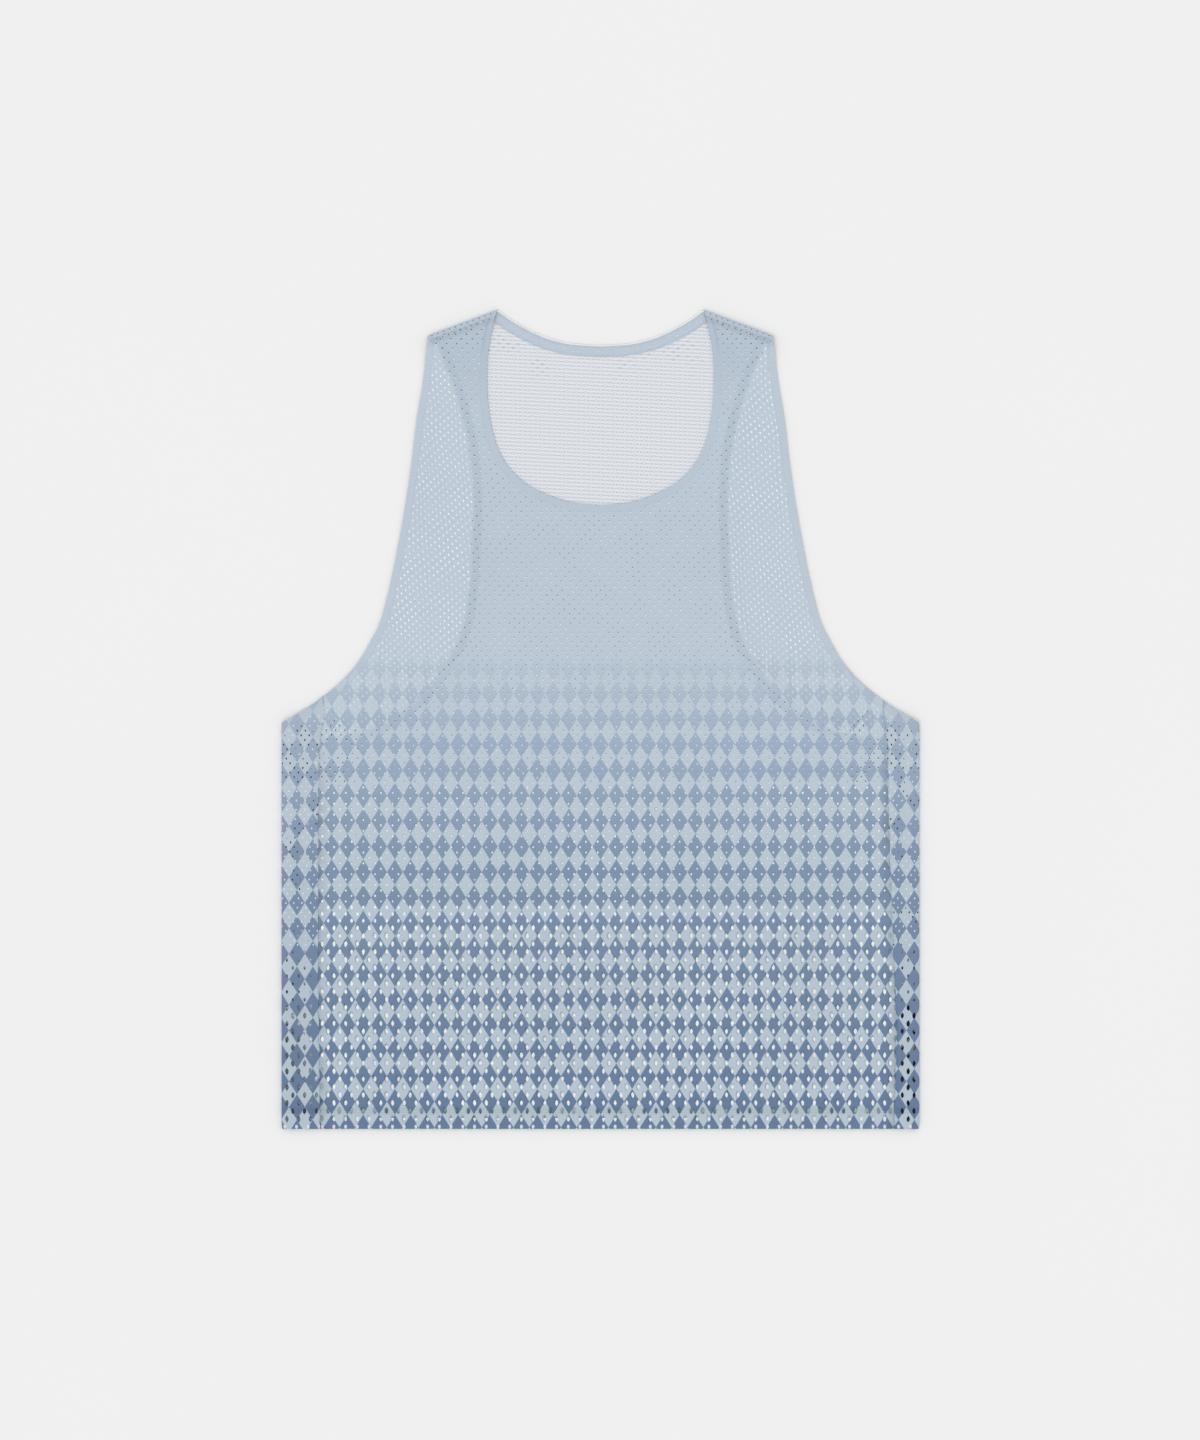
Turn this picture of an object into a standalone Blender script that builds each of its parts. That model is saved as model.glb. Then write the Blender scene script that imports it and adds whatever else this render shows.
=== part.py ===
"""Running singlet of mesh knit, laid flat on its back with the front uppermost.

X runs across the chest, Y from the hem up to the neck and Z up from the surface it lies on.
The constants and tables are in millimetres, and the meshes are made in metres.
"""

import math
from collections import namedtuple

import bmesh
import bpy
import numpy as np
from mathutils.geometry import delaunay_2d_cdt
from mathutils.kdtree import KDTree

MM = 0.001

# Driving sizes of the laid garment
HALF_CHEST = 250.0  # centre line to the fold at the side
HALF_LENGTH = 321.3  # half of the length from the neck points to the hem
CLOTH = 1.0  # wall of one layer of knit
HEM_WALL = 1.8  # wall where the hem is turned up
HEM_DEPTH = 12.5
GAP = 0.3  # between pieces that lie on or beside each other
ROLL_RADIUS = 2.0  # outside radius where the back rolls over to the front
SHOULDER_SHOW = 3.8  # the back that shows on the front, above the shoulder seam

# Facings, the flat strips stitched inside the openings
NECK_FACING_BACK = 8.2
NECK_FACING_FRONT = 7.0
ARM_FACING_FRONT = 4.8
ARM_FACING_BACK = 6.7
EDGE_SHOW = 1.1  # the panel's edge that shows beyond its facing

# How the top layer comes down beside what lies under it
FULL_LIFT = 1.6
RAMP = 8.0
HEM_RAMP = 3.0
ROLL_SETTLES = 22.0
SWELL_HEIGHT = 1.1
SWELL_BORDER = 45.0

# Mesh steps
EDGE_STEP = 12.0
FINE_STEP = 4.5  # along the seams where the armholes meet them
UNDERARM_END = -36.0
FRONT_STEP = 24.0
BACK_STEP = 34.0
LEAST_STEP = 4.0
ROLL_STEPS = 4

# Edge curves of the right half: distance from the centre line, height above the middle
NECK_POINT = (80.7, 320.9)
SHOULDER_TIP = (134.8, 300.9)
UNDERARM = (HALF_CHEST, -3.0)
#    x,     y
FRONT_ARMHOLE = (
    SHOULDER_TIP,
    (136.0, 293.1),
    (139.1, 265.7),
    (144.2, 234.3),
    (147.9, 203.0),
    (152.4, 171.6),
    (157.9, 140.3),
    (164.2, 108.9),
    (172.2, 77.6),
    (179.7, 61.9),
    (188.9, 46.2),
    (202.0, 30.6),
    (221.0, 15.0),
    (236.0, 5.2),
    UNDERARM,
)
BACK_ARMHOLE = (
    SHOULDER_TIP,
    (125.8, 284.5),
    (114.0, 253.1),
    (104.6, 216.0),
    (100.8, 180.0),
    (101.2, 146.6),
    (104.2, 97.0),
    (111.7, 64.0),
    (126.0, 38.5),
    (143.0, 17.5),
    (161.1, 3.1),
    (180.6, -7.1),
    (204.2, -13.0),
    (221.0, -13.6),
    (236.0, -10.0),
    UNDERARM,
)
FRONT_NECKLINE = (
    NECK_POINT,
    (85.2, 305.0),
    (88.4, 284.0),
    (89.0, 260.0),
    (86.9, 236.0),
    (81.6, 214.5),
    (72.6, 198.0),
    (58.0, 184.0),
    (40.0, 175.0),
    (21.0, 169.3),
    (0.0, 167.3),
)
BACK_NECKLINE = (
    NECK_POINT,
    (67.0, 311.3),
    (45.2, 300.4),
    (24.0, 294.7),
    (0.0, 293.0),
)
# The side seams lie on the front, a little uneven: distance from the centre line on each side
#    y,            left,  right
SIDE_SEAMS = (
    (-HALF_LENGTH, 219.8, 230.0),
    (-238.0, 221.0, 232.4),
    (-190.0, 221.4, 230.0),
    (-64.0, 221.4, 225.5),
    (-22.0, 220.5, 225.3),
    (0.0, 217.0, 222.5),
    (60.0, 216.5, 219.5),
)
# Loose swells of the front: wave lengths and phase
#   across,  along, phase
SWELLS = (
    (210.0, 330.0, 0.4),
    (140.0, -260.0, 2.1),
    (-300.0, 150.0, 4.0),
)

#            red, green, blue
MESH_BLUE = (0.50, 0.60, 0.70)
FACING_BLUE = (0.44, 0.54, 0.65)
CLOTH_ROUGHNESS = 0.85

LEFT, RIGHT = -1, 1


# Plane curves, as arrays of points


def smooth_curve(table, step=EDGE_STEP):
    """Points about a step apart on a smooth curve through a table's points."""
    points = np.array(table, float)
    points = np.vstack([2 * points[0] - points[1], points, 2 * points[-1] - points[-2]])
    curve = []
    for before, start, end, after in zip(points, points[1:], points[2:], points[3:]):
        bend = 2 * before - 5 * start + 4 * end - after
        twist = 3 * start - before - 3 * end + after
        count = max(1, round(math.dist(start, end) / step))
        for t in np.arange(count) / count:
            curve.append(start + (end - before) * t / 2 + bend * t**2 / 2 + twist * t**3 / 2)
    return np.array([*curve, points[-2]])


def straight(start, end, step=EDGE_STEP):
    return np.linspace(start, end, 1 + math.ceil(math.dist(start, end) / step))


def joined(*stretches):
    """Stretches end to end, where each starts at the last point of the one before."""
    return np.vstack([*(stretch[:-1] for stretch in stretches[:-1]), stretches[-1]])


def mirrored(curve):
    return curve[::-1] * (-1, 1)


def moved_left(curve, distance):
    """The curve moved to the left of its own run."""
    run = np.gradient(curve, axis=0)
    run /= np.linalg.norm(run, axis=1)[:, None]
    return curve + distance * np.stack([-run[:, 1], run[:, 0]], axis=1)


def started(curve, depth_of, depth):
    """The curve from the place where depth_of its points passes a depth."""
    depths = depth_of(curve)
    first = int(np.argmax(depths > depth))
    share = (depth - depths[first - 1]) / (depths[first] - depths[first - 1])
    start = curve[first - 1] + share * (curve[first] - curve[first - 1])
    return np.vstack([start, curve[first:][np.linalg.norm(curve[first:] - start, axis=1) > LEAST_STEP]])


def distance_to(points, loop):
    """Distance from each point to the nearest place on a closed loop."""
    nearest = np.full(len(points), np.inf)
    for start, end in zip(loop, np.roll(loop, -1, axis=0)):
        run = end - start
        share = np.clip((points - start) @ run / (run @ run), 0, 1)
        nearest = np.minimum(nearest, np.linalg.norm(points - start - share[:, None] * run, axis=1))
    return nearest


def inside(points, loop):
    found = np.zeros(len(points), bool)
    for (x0, y0), (x1, y1) in zip(loop, np.roll(loop, -1, axis=0)):
        if y0 != y1:
            passes = (points[:, 1] < y0) != (points[:, 1] < y1)
            found ^= passes & (points[:, 0] < x0 + (points[:, 1] - y0) * (x1 - x0) / (y1 - y0))
    return found


def eased(share):
    share = np.clip(share, 0, 1)
    return share * share * (3 - 2 * share)


# The garment in plan

SHOULDER_RUN = np.subtract(SHOULDER_TIP, NECK_POINT) / math.dist(SHOULDER_TIP, NECK_POINT)
SHOULDER_OUT = np.array([-SHOULDER_RUN[1], SHOULDER_RUN[0]])
SIDE_FOLD = HALF_CHEST - ROLL_RADIUS
ROLL_LENGTH = math.pi * ROLL_RADIUS
HEM_Y = -HALF_LENGTH


def on_right(points):
    """Points of either half, seen on the right one."""
    return np.stack([np.abs(points[:, 0]), points[:, 1]], axis=1)


def below_shoulder(points):
    """Depth below the shoulder's edge."""
    return (NECK_POINT - on_right(points)) @ SHOULDER_OUT


def below_top(points):
    return HALF_LENGTH - points[:, 1]


def seam_x(y, side):
    """A side seam's distance from the centre line."""
    heights, left, right = np.transpose(SIDE_SEAMS)
    return np.interp(y, heights, left if side == LEFT else right)


def wall_at(y):
    """Thickness of a panel, which is doubled where the hem is turned up."""
    turned = 1 - eased((y - HEM_Y - HEM_DEPTH) / HEM_RAMP)
    return CLOTH + (HEM_WALL - CLOTH) * turned


def seam_edge(side, clearance):
    """One edge of a side seam, from the armhole down to the hem."""
    armhole = smooth_curve(FRONT_ARMHOLE)
    top_y = armhole[np.argmin(np.abs(armhole[:, 0] - seam_x(0, side))), 1]
    top_x = seam_x(top_y, side) + clearance
    top_y = np.interp(top_x, armhole[:, 0], armhole[:, 1])
    y = joined(straight([top_y], [UNDERARM_END], FINE_STEP), straight([UNDERARM_END], [HEM_Y]))[:, 0]
    return np.stack([seam_x(y, side) + clearance, y], axis=1)


def whole(half):
    """The loop of a piece, from the function that gives a side's edge from centre to centre."""
    return np.vstack([half(RIGHT)[:-1], mirrored(half(LEFT))[:-1]])


def front_half(side):
    below_seam = SHOULDER_SHOW + GAP
    neckline = started(smooth_curve(FRONT_NECKLINE), below_shoulder, below_seam)
    armhole = started(smooth_curve(FRONT_ARMHOLE), below_shoulder, below_seam)
    seam = seam_edge(side, -GAP / 2)
    armhole = np.vstack([armhole[armhole[:, 0] < seam[0, 0] - LEAST_STEP], seam[:1]])
    hem = straight(seam[-1], (0, HEM_Y))
    return joined(neckline[::-1], straight(neckline[0], armhole[0]), armhole, seam, hem)


def back_on_floor_half(_side):
    """What of the back lies on the floor, out to its folds."""
    hem_corner = (HALF_CHEST, HEM_Y)
    return joined(
        smooth_curve(BACK_NECKLINE)[::-1],
        straight(NECK_POINT, SHOULDER_TIP),
        smooth_curve(BACK_ARMHOLE),
        straight(UNDERARM, hem_corner),
        straight(hem_corner, (0, HEM_Y)),
    )


def unrolled_side(points):
    """Points of the strip that lies on the front, opened out flat beyond the side fold."""
    return np.stack([2 * SIDE_FOLD + ROLL_LENGTH - points[:, 0], points[:, 1]], axis=1)


def back_pattern_half(side):
    """The back as it is cut, with its side strip and its shoulder edge opened out flat."""
    neckline = started(smooth_curve(BACK_NECKLINE), below_shoulder, ROLL_RADIUS)
    armhole = started(smooth_curve(BACK_ARMHOLE), below_shoulder, ROLL_RADIUS)
    armhole = armhole[armhole[:, 0] < SIDE_FOLD - LEAST_STEP]
    seam = seam_edge(side, GAP / 2)
    edge = smooth_curve(FRONT_ARMHOLE)[::-1]
    edge = edge[(edge[:, 0] > seam[0, 0] + LEAST_STEP) & (edge[:, 0] < SIDE_FOLD - LEAST_STEP)]
    roll_start = (SIDE_FOLD, UNDERARM[1] - ROLL_RADIUS / 2)
    roll_end = (SIDE_FOLD + ROLL_LENGTH, UNDERARM[1] + ROLL_RADIUS / 2)
    strip = unrolled_side(np.vstack([edge, seam]))
    flap = (ROLL_LENGTH - ROLL_RADIUS + SHOULDER_SHOW) * SHOULDER_OUT
    corners = [neckline[0], neckline[0] + flap, armhole[0] + flap, armhole[0]]
    shoulder = joined(*(straight(start, end) for start, end in zip(corners, corners[1:])))
    hem = straight(strip[-1], (0, HEM_Y))
    side_edge = np.vstack([armhole, roll_start, roll_end, strip])
    return joined(neckline[::-1], shoulder, side_edge, hem)


# The facings in plan. Cloth lies to the left of a neckline's run and to the right of an armhole's.
Facing = namedtuple("Facing", "edge cloth_side width starts_below depth_of ends_at_x on_back")
FACINGS = {
    "neck_facing_back": Facing(BACK_NECKLINE, 1, NECK_FACING_BACK, 2.4, below_shoulder, 0, True),
    "neck_facing_front": Facing(FRONT_NECKLINE, 1, NECK_FACING_FRONT, 15.0, below_top, 0, True),
    "armhole_facing_back": Facing(BACK_ARMHOLE, -1, ARM_FACING_BACK, 2.4, below_shoulder, 205.0, True),
    "armhole_facing_front": Facing(FRONT_ARMHOLE, -1, ARM_FACING_FRONT, 34.0, below_top, 236.0, False),
}
NECKS = ("neck_facing_back", "neck_facing_front")


def facing_edges(facing):
    """The facing's edge beside the opening and the one inside it, on the right half."""
    edges = []
    for inset in (EDGE_SHOW, EDGE_SHOW + facing.width):
        curve = moved_left(smooth_curve(facing.edge), facing.cloth_side * inset)
        curve = started(curve, facing.depth_of, facing.starts_below)
        if facing.ends_at_x:
            curve = started(curve[::-1], lambda points: -points[:, 0], -facing.ends_at_x)[::-1]
        edges.append(curve)
    return edges


def facing_pieces():
    """Name, both edges and level of each facing. A neck's facing is one piece over both halves."""
    for name, facing in FACINGS.items():
        edges = facing_edges(facing)
        if name in NECKS:
            yield name, [joined(edge, mirrored(edge)) for edge in edges], facing.on_back
        else:
            yield name + "_right", edges, facing.on_back
            yield name + "_left", [edge * (-1, 1) for edge in edges], facing.on_back


def loop_of(edges):
    return np.vstack([edges[0], edges[1][::-1]])


BACK_ON_FLOOR = whole(back_on_floor_half)
FRONT_LOOP = whole(front_half)
ON_FLOOR = [BACK_ON_FLOOR, *(loop_of(edges) for _, edges, on_back in facing_pieces() if not on_back)]
ON_BACK = [loop_of(edges) for _, edges, on_back in facing_pieces() if on_back]


# Heights of the top layer


def cover(points, loops):
    """1 over the pieces and close beside them, coming down smoothly to 0."""
    most = np.zeros(len(points))
    for loop in loops:
        away = np.where(inside(points, loop), 0, distance_to(points, loop))
        most = np.maximum(most, 1 - eased((away - FULL_LIFT) / RAMP))
    return most


def swell_at(points):
    """Height of the loose swells, which die out towards the front's edges."""
    waves = 0
    for across, along, phase in SWELLS:
        waves = waves + np.sin(math.tau * (points[:, 0] / across + points[:, 1] / along) + phase)
    share = 0.5 + 0.5 * waves / len(SWELLS)
    return SWELL_HEIGHT * share * eased(distance_to(points, FRONT_LOOP) / SWELL_BORDER)


def underside_at(points):
    """Height of the top layer's underside over each place in plan."""
    wall = wall_at(points[:, 1])
    first = (wall + GAP) * cover(points, ON_FLOOR)
    second = (CLOTH + GAP) * cover(points, ON_BACK)
    swell = np.where(inside(points, FRONT_LOOP), swell_at(points), 0)
    height = first + second + swell
    from_side = SIDE_FOLD - np.abs(points[:, 0])
    from_shoulder = below_shoulder(points) - ROLL_RADIUS
    rolled = 1 - eased(np.minimum(from_side, from_shoulder) / ROLL_SETTLES)
    return height + (2 * ROLL_RADIUS - wall - height) * rolled


def laid_front(points, share):
    """Places of the front's points, with the share of the wall from its inside to its outside."""
    height = underside_at(points) + share * wall_at(points[:, 1])
    return np.column_stack([points, height])


def rolled_over(over, depth):
    """Run past the fold line and height of a point that lies so far past it on the pattern."""
    angle = np.clip(over / ROLL_RADIUS, 0, math.pi)
    onward = np.minimum(over, 0) - np.maximum(over - ROLL_LENGTH, 0)
    run = onward + (ROLL_RADIUS - depth) * np.sin(angle)
    return run, ROLL_RADIUS - (ROLL_RADIUS - depth) * np.cos(angle)


def laid_back(points, share):
    """Places of the back's points: on the floor, round the folds and on top again."""
    wall = wall_at(points[:, 1])
    depth = share * wall
    side = np.sign(points[:, 0])
    right = on_right(points)
    over_side = right[:, 0] - SIDE_FOLD
    over_shoulder = ROLL_RADIUS - below_shoulder(points)
    run, side_height = rolled_over(over_side, depth)
    plan = np.stack([SIDE_FOLD + run, right[:, 1]], axis=1)
    run, shoulder_height = rolled_over(over_shoulder, depth)
    plan = plan + np.outer(run - over_shoulder, SHOULDER_OUT)
    height = np.where(over_shoulder > 0, shoulder_height, side_height)
    plan[:, 0] *= side
    on_top = np.maximum(over_side, over_shoulder) > ROLL_LENGTH
    height = np.where(on_top, underside_at(plan) + wall - depth, height)
    return np.column_stack([plan, height])


# Meshes


def flat_sheet(loop, seeds, step):
    """A flat mesh inside a loop, with points at the seeds and on an even lattice between them."""
    low, high = loop.min(axis=0), loop.max(axis=0)
    rows = np.arange(low[1], high[1], step * math.sqrt(3) / 2)
    lattice = [
        (x, y)
        for k, y in enumerate(rows)
        for x in np.arange(-step * math.ceil(high[0] / step) + step / 2 * (k % 2), high[0], step)
    ]
    kept = [*loop]
    for group, apart in ((seeds, LEAST_STEP), (np.array(lattice), step * 0.45)):
        tree = KDTree(len(kept))
        for index, point in enumerate(kept):
            tree.insert((*point, 0), index)
        tree.balance()
        group = group[inside(group, loop)]
        added = []
        for point in group[distance_to(group, loop) > apart]:
            if tree.find((*point, 0))[2] > apart:
                added.append(point)
        kept.extend(thinned(added, apart))
    edges = [(k, (k + 1) % len(loop)) for k in range(len(loop))]
    points, _, faces, *_ = delaunay_2d_cdt([tuple(point) for point in kept], edges, [], 0, 1e-5)
    middles = np.array([np.mean([points[k] for k in face], axis=0) for face in faces])
    sheet = bmesh.new()
    corners = [sheet.verts.new((*point, 0)) for point in points]
    for face, keep in zip(faces, inside(middles, loop)):
        if keep:
            sheet.faces.new([corners[k] for k in face])
    return sheet


def thinned(points, apart):
    """The points, without those too near to one before them."""
    kept = []
    for point in points:
        if all(math.dist(point, other) > apart for other in kept):
            kept.append(point)
    return kept


def strip_sheet(edges):
    """A flat mesh between the two edges of a facing."""
    sheet = bmesh.new()
    for edge in edges:
        corners = [sheet.verts.new((*point, 0)) for point in edge]
        for start, end in zip(corners, corners[1:]):
            sheet.edges.new((start, end))
    bmesh.ops.bridge_loops(sheet, edges=sheet.edges[:])
    return sheet


def cut_along(sheet, point, normal):
    geometry = [*sheet.verts, *sheet.edges, *sheet.faces]
    bmesh.ops.bisect_plane(sheet, geom=geometry, dist=1e-4, plane_co=(*point, 0), plane_no=(*normal, 0))


def cloth_piece(name, sheet, place, colour):
    """Gives a flat sheet its wall, lays it in place and makes it an object."""
    bmesh.ops.recalc_face_normals(sheet, faces=sheet.faces[:])
    bmesh.ops.solidify(sheet, geom=sheet.faces[:], thickness=1.0)
    flat = np.array([corner.co for corner in sheet.verts])
    for corner, co in zip(sheet.verts, place(flat[:, :2], np.abs(flat[:, 2]))):
        corner.co = co * MM
    bmesh.ops.triangulate(sheet, faces=sheet.faces[:])
    bmesh.ops.recalc_face_normals(sheet, faces=sheet.faces[:])
    mesh = bpy.data.meshes.new(name)
    sheet.to_mesh(mesh)
    sheet.free()
    mesh.shade_smooth()
    mesh.set_sharp_from_angle(angle=math.radians(50))
    mesh.materials.append(cloth_material(name, colour))
    piece = bpy.data.objects.new(name, mesh)
    bpy.context.scene.collection.objects.link(piece)
    return piece


def cloth_material(name, colour):
    material = bpy.data.materials.new(name)
    material.use_nodes = True
    shader = material.node_tree.nodes["Principled BSDF"]
    shader.inputs["Base Color"].default_value = (*colour, 1.0)
    shader.inputs["Roughness"].default_value = CLOTH_ROUGHNESS
    shader.inputs["Metallic"].default_value = 0.0
    return material


# Pieces


def lift_lines():
    """Points on the lines where the top layer's lifts begin and end."""
    lines = []
    for loop in (*ON_FLOOR, *ON_BACK):
        inward = 1 if inside(moved_left(loop, 1.0)[1:2], loop)[0] else -1
        for outward in (FULL_LIFT, FULL_LIFT + RAMP):
            lines.append(moved_left(loop, -inward * outward))
    return np.vstack(lines)


def mark_hem(sheet):
    for over in (0, HEM_RAMP):
        cut_along(sheet, (0, HEM_Y + HEM_DEPTH + over), (0, 1))


def make_front_panel():
    sheet = flat_sheet(FRONT_LOOP, lift_lines(), FRONT_STEP)
    mark_hem(sheet)
    return cloth_piece("front_panel", sheet, laid_front, MESH_BLUE)


def make_back_panel():
    lines = lift_lines()
    on_strips = unrolled_side(on_right(lines)) * np.stack([np.sign(lines[:, 0]), np.ones(len(lines))], axis=1)
    sheet = flat_sheet(whole(back_pattern_half), on_strips, BACK_STEP)
    mark_hem(sheet)
    for side in (LEFT, RIGHT):
        for over in np.linspace(0, ROLL_LENGTH, ROLL_STEPS + 1):
            cut_along(sheet, (side * (SIDE_FOLD + over), 0), (side, 0))
            fold = NECK_POINT + (over - ROLL_RADIUS) * SHOULDER_OUT
            cut_along(sheet, fold * (side, 1), SHOULDER_OUT * (side, 1))
        for settling in (0.33, 0.66):
            cut_along(sheet, (side * (SIDE_FOLD + ROLL_LENGTH + settling * ROLL_SETTLES), 0), (side, 0))
    return cloth_piece("back_panel", sheet, laid_back, MESH_BLUE)


def make_facings():
    for name, edges, on_back in facing_pieces():
        floor = CLOTH + GAP if on_back else 0

        def laid_flat(points, share, floor=floor):
            return np.column_stack([points, floor + share * CLOTH])

        cloth_piece(name, strip_sheet(edges), laid_flat, FACING_BLUE)


def clear_scene():
    for thing in list(bpy.data.objects):
        bpy.data.objects.remove(thing, do_unlink=True)


clear_scene()
make_back_panel()
make_facings()
make_front_panel()
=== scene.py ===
"""Running singlet of mesh knit, laid flat on its back: fine cloth, sewing and finishes over its solids.

X runs across the chest, Y from the hem up to the neck and Z up from the floor.
Tables and cloth sizes are in millimetres, and the meshes are made in metres.
"""

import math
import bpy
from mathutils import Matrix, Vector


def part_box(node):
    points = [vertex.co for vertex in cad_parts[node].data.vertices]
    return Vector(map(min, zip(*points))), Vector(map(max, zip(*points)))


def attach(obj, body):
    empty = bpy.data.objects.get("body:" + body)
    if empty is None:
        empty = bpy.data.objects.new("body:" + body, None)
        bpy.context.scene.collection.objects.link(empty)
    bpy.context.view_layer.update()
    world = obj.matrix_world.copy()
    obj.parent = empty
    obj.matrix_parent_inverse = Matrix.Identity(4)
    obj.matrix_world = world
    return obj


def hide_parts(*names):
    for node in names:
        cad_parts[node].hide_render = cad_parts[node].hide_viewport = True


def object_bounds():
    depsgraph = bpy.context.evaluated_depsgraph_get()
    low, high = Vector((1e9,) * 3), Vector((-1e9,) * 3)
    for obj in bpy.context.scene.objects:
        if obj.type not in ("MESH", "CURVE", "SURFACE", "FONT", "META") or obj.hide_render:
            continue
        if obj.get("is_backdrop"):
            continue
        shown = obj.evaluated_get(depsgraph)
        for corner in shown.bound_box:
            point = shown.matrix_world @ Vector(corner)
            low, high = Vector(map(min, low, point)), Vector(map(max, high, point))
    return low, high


bl_info = {
    "name": "Laid running singlet",
    "version": (1, 0, 0),
    "blender": (4, 5, 0),
    "location": "3D View > Sidebar > Singlet",
    "description": "Makes the mesh knit, facings and sewing of a running singlet that lies flat",
    "category": "Object",
}

from bisect import bisect
from collections import namedtuple

import bmesh
import bpy
import numpy as np
from bpy.props import FloatProperty, FloatVectorProperty, PointerProperty
from mathutils import Matrix, Vector

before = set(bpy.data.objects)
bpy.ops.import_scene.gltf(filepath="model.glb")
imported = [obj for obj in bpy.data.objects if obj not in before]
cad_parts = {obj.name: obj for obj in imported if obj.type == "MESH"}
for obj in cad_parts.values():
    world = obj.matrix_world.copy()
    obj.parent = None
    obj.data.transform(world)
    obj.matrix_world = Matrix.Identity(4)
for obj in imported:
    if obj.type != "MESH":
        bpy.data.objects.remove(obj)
CAD_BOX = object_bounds()

MM = 0.001
LEAST_SHEET = 10 * MM  # the narrowest width given for a sheet

# Sizes of the solids, which the cloth lies in
LOW, HIGH = (np.array(corner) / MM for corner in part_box("back_panel"))
HALF_CHEST = HIGH[0]
HEM_Y = LOW[1]
CLOTH = 1.0
HEM_WALL = 1.8
HEM_DEPTH = 12.5
GAP = 0.3
ROLL_RADIUS = 2.0
SHOULDER_SHOW = 3.8
FULL_LIFT = 1.6
RAMP = 8.0
HEM_RAMP = 3.0
ROLL_SETTLES = 22.0
SWELL_HEIGHT = 1.1
SWELL_BORDER = 45.0

# How the knit lies in them. It is thinner than the solids, and its layers lie closer.
FRONT_WALL = 0.6  # of the solid's wall
TAPE_WALL = 0.55
REST_GAP = 0.12
SWELL_LEFT = 0.4  # share of the solid's swells
SEAM_GAP = 0.0
SEAM_WAVE = 0.5  # how far a side seam wanders
STRIP_STEP = 0.3  # share of the strip's height that the front comes up to beside it
EDGE_STEP = 12.0
FINE_STEP = 3.0
LEAST_STEP = 1.0
EDGE_RING = 1.0  # bands of fine faces along every edge
SEAM_RING = 2.2
ROLL_STEPS = 8
EDGE_WALL = 0.35  # share of the wall left at a turned edge
FACING_STEPS = 3

# Edge curves of the right half: distance from the centre line, height above the middle
NECK_POINT = (80.7, 320.9)
SHOULDER_TIP = (134.8, 300.9)
UNDERARM = (HALF_CHEST, -3.0)
#    x,     y
FRONT_ARMHOLE = (
    SHOULDER_TIP,
    (136.0, 293.1),
    (139.1, 265.7),
    (144.2, 234.3),
    (147.9, 203.0),
    (152.4, 171.6),
    (157.9, 140.3),
    (164.2, 108.9),
    (172.2, 77.6),
    (179.7, 61.9),
    (188.9, 46.2),
    (202.0, 30.6),
    (221.0, 15.0),
    (236.0, 5.2),
    UNDERARM,
)
BACK_ARMHOLE = (
    SHOULDER_TIP,
    (125.8, 284.5),
    (114.0, 253.1),
    (104.6, 216.0),
    (100.8, 180.0),
    (101.2, 146.6),
    (104.2, 97.0),
    (111.7, 64.0),
    (126.0, 38.5),
    (143.0, 17.5),
    (161.1, 3.1),
    (180.6, -7.1),
    (204.2, -13.0),
    (221.0, -13.6),
    (236.0, -10.0),
    UNDERARM,
)
FRONT_NECKLINE = (
    NECK_POINT,
    (85.2, 305.0),
    (88.4, 284.0),
    (89.0, 260.0),
    (86.9, 236.0),
    (81.6, 214.5),
    (72.6, 198.0),
    (58.0, 184.0),
    (40.0, 175.0),
    (21.0, 169.3),
    (0.0, 167.3),
)
BACK_NECKLINE = (
    NECK_POINT,
    (67.0, 311.3),
    (45.2, 300.4),
    (24.0, 294.7),
    (0.0, 293.0),
)
# The side seams lie on the front, a little uneven: distance from the centre line on each side
#    y,      left,  right
SIDE_SEAMS = (
    (HEM_Y, 219.8, 230.0),
    (-238.0, 221.0, 232.4),
    (-190.0, 221.4, 230.0),
    (-64.0, 221.4, 225.5),
    (-22.0, 220.5, 225.3),
    (0.0, 217.0, 222.5),
    (60.0, 216.5, 219.5),
)
# Loose swells of the front: wave lengths and phase
#   across,  along, phase
SWELLS = (
    (210.0, 330.0, 0.4),
    (140.0, -260.0, 2.1),
    (-300.0, 150.0, 4.0),
)

# The open zones of the knit, from the hem up
FIRST_ROW = 4.7  # above the hem's fold
HoleZone = namedtuple("HoleZone", "rows pitch half_width half_height")
FRONT_ZONES = (
    HoleZone(25, 6.23, 1.25, 2.5),
    HoleZone(3, 5.25, 1.05, 1.8),
    HoleZone(22, 4.25, 0.8, 1.15),
)
BACK_ZONES = (
    HoleZone(15, 6.23, 1.4, 2.7),
    HoleZone(7, 6.23, 0.9, 1.6),
)
PLAIN_PITCH = 4.6
RING_PITCH = 7.6  # small holes as the inside shows them
RING_ROWS = 2.95
SMALL_PITCH = 7.7  # small holes as the outside shows them
SMALL_ROWS = 3.65
ALONE_PITCH = 6.4  # the same where one layer lies alone
ALONE_ROWS = 2.9
# painted glow: the back's inside under the front glows (emission), in place of light that comes through it
THROUGH_LIGHT = 0.1  # light that comes through the front onto the back's inside
HOLE_JITTER = 0.08
HOLE_TILT = 0.12
SHOULDER_PITCH = 4.9  # the open holes beside the shoulder seam
SHOULDER_ROWS = 3.6

# Shades of the print's dark diamonds: share of its height from the hem, and red, green and blue
PRINT_BLUES = ((0.28, (112, 133, 162)), (0.55, (128, 148, 174)), (0.80, (158, 175, 196)))
PRINT_PALEST = 58.0  # heights above the middle
PRINT_TOP = 62.0
PRINT_FULL = 40.0

# Marks in place of a distance into the back, all past the reach of the front's bands. The back's inside lies
# in a side fold, in the open or covered by the front.
FAR_IN = 100.0
IN_FOLD, OPEN, COVERED = FAR_IN - 2, FAR_IN - 1, FAR_IN

LEFT, RIGHT = -1, 1


# Plane curves, as arrays of points


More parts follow.
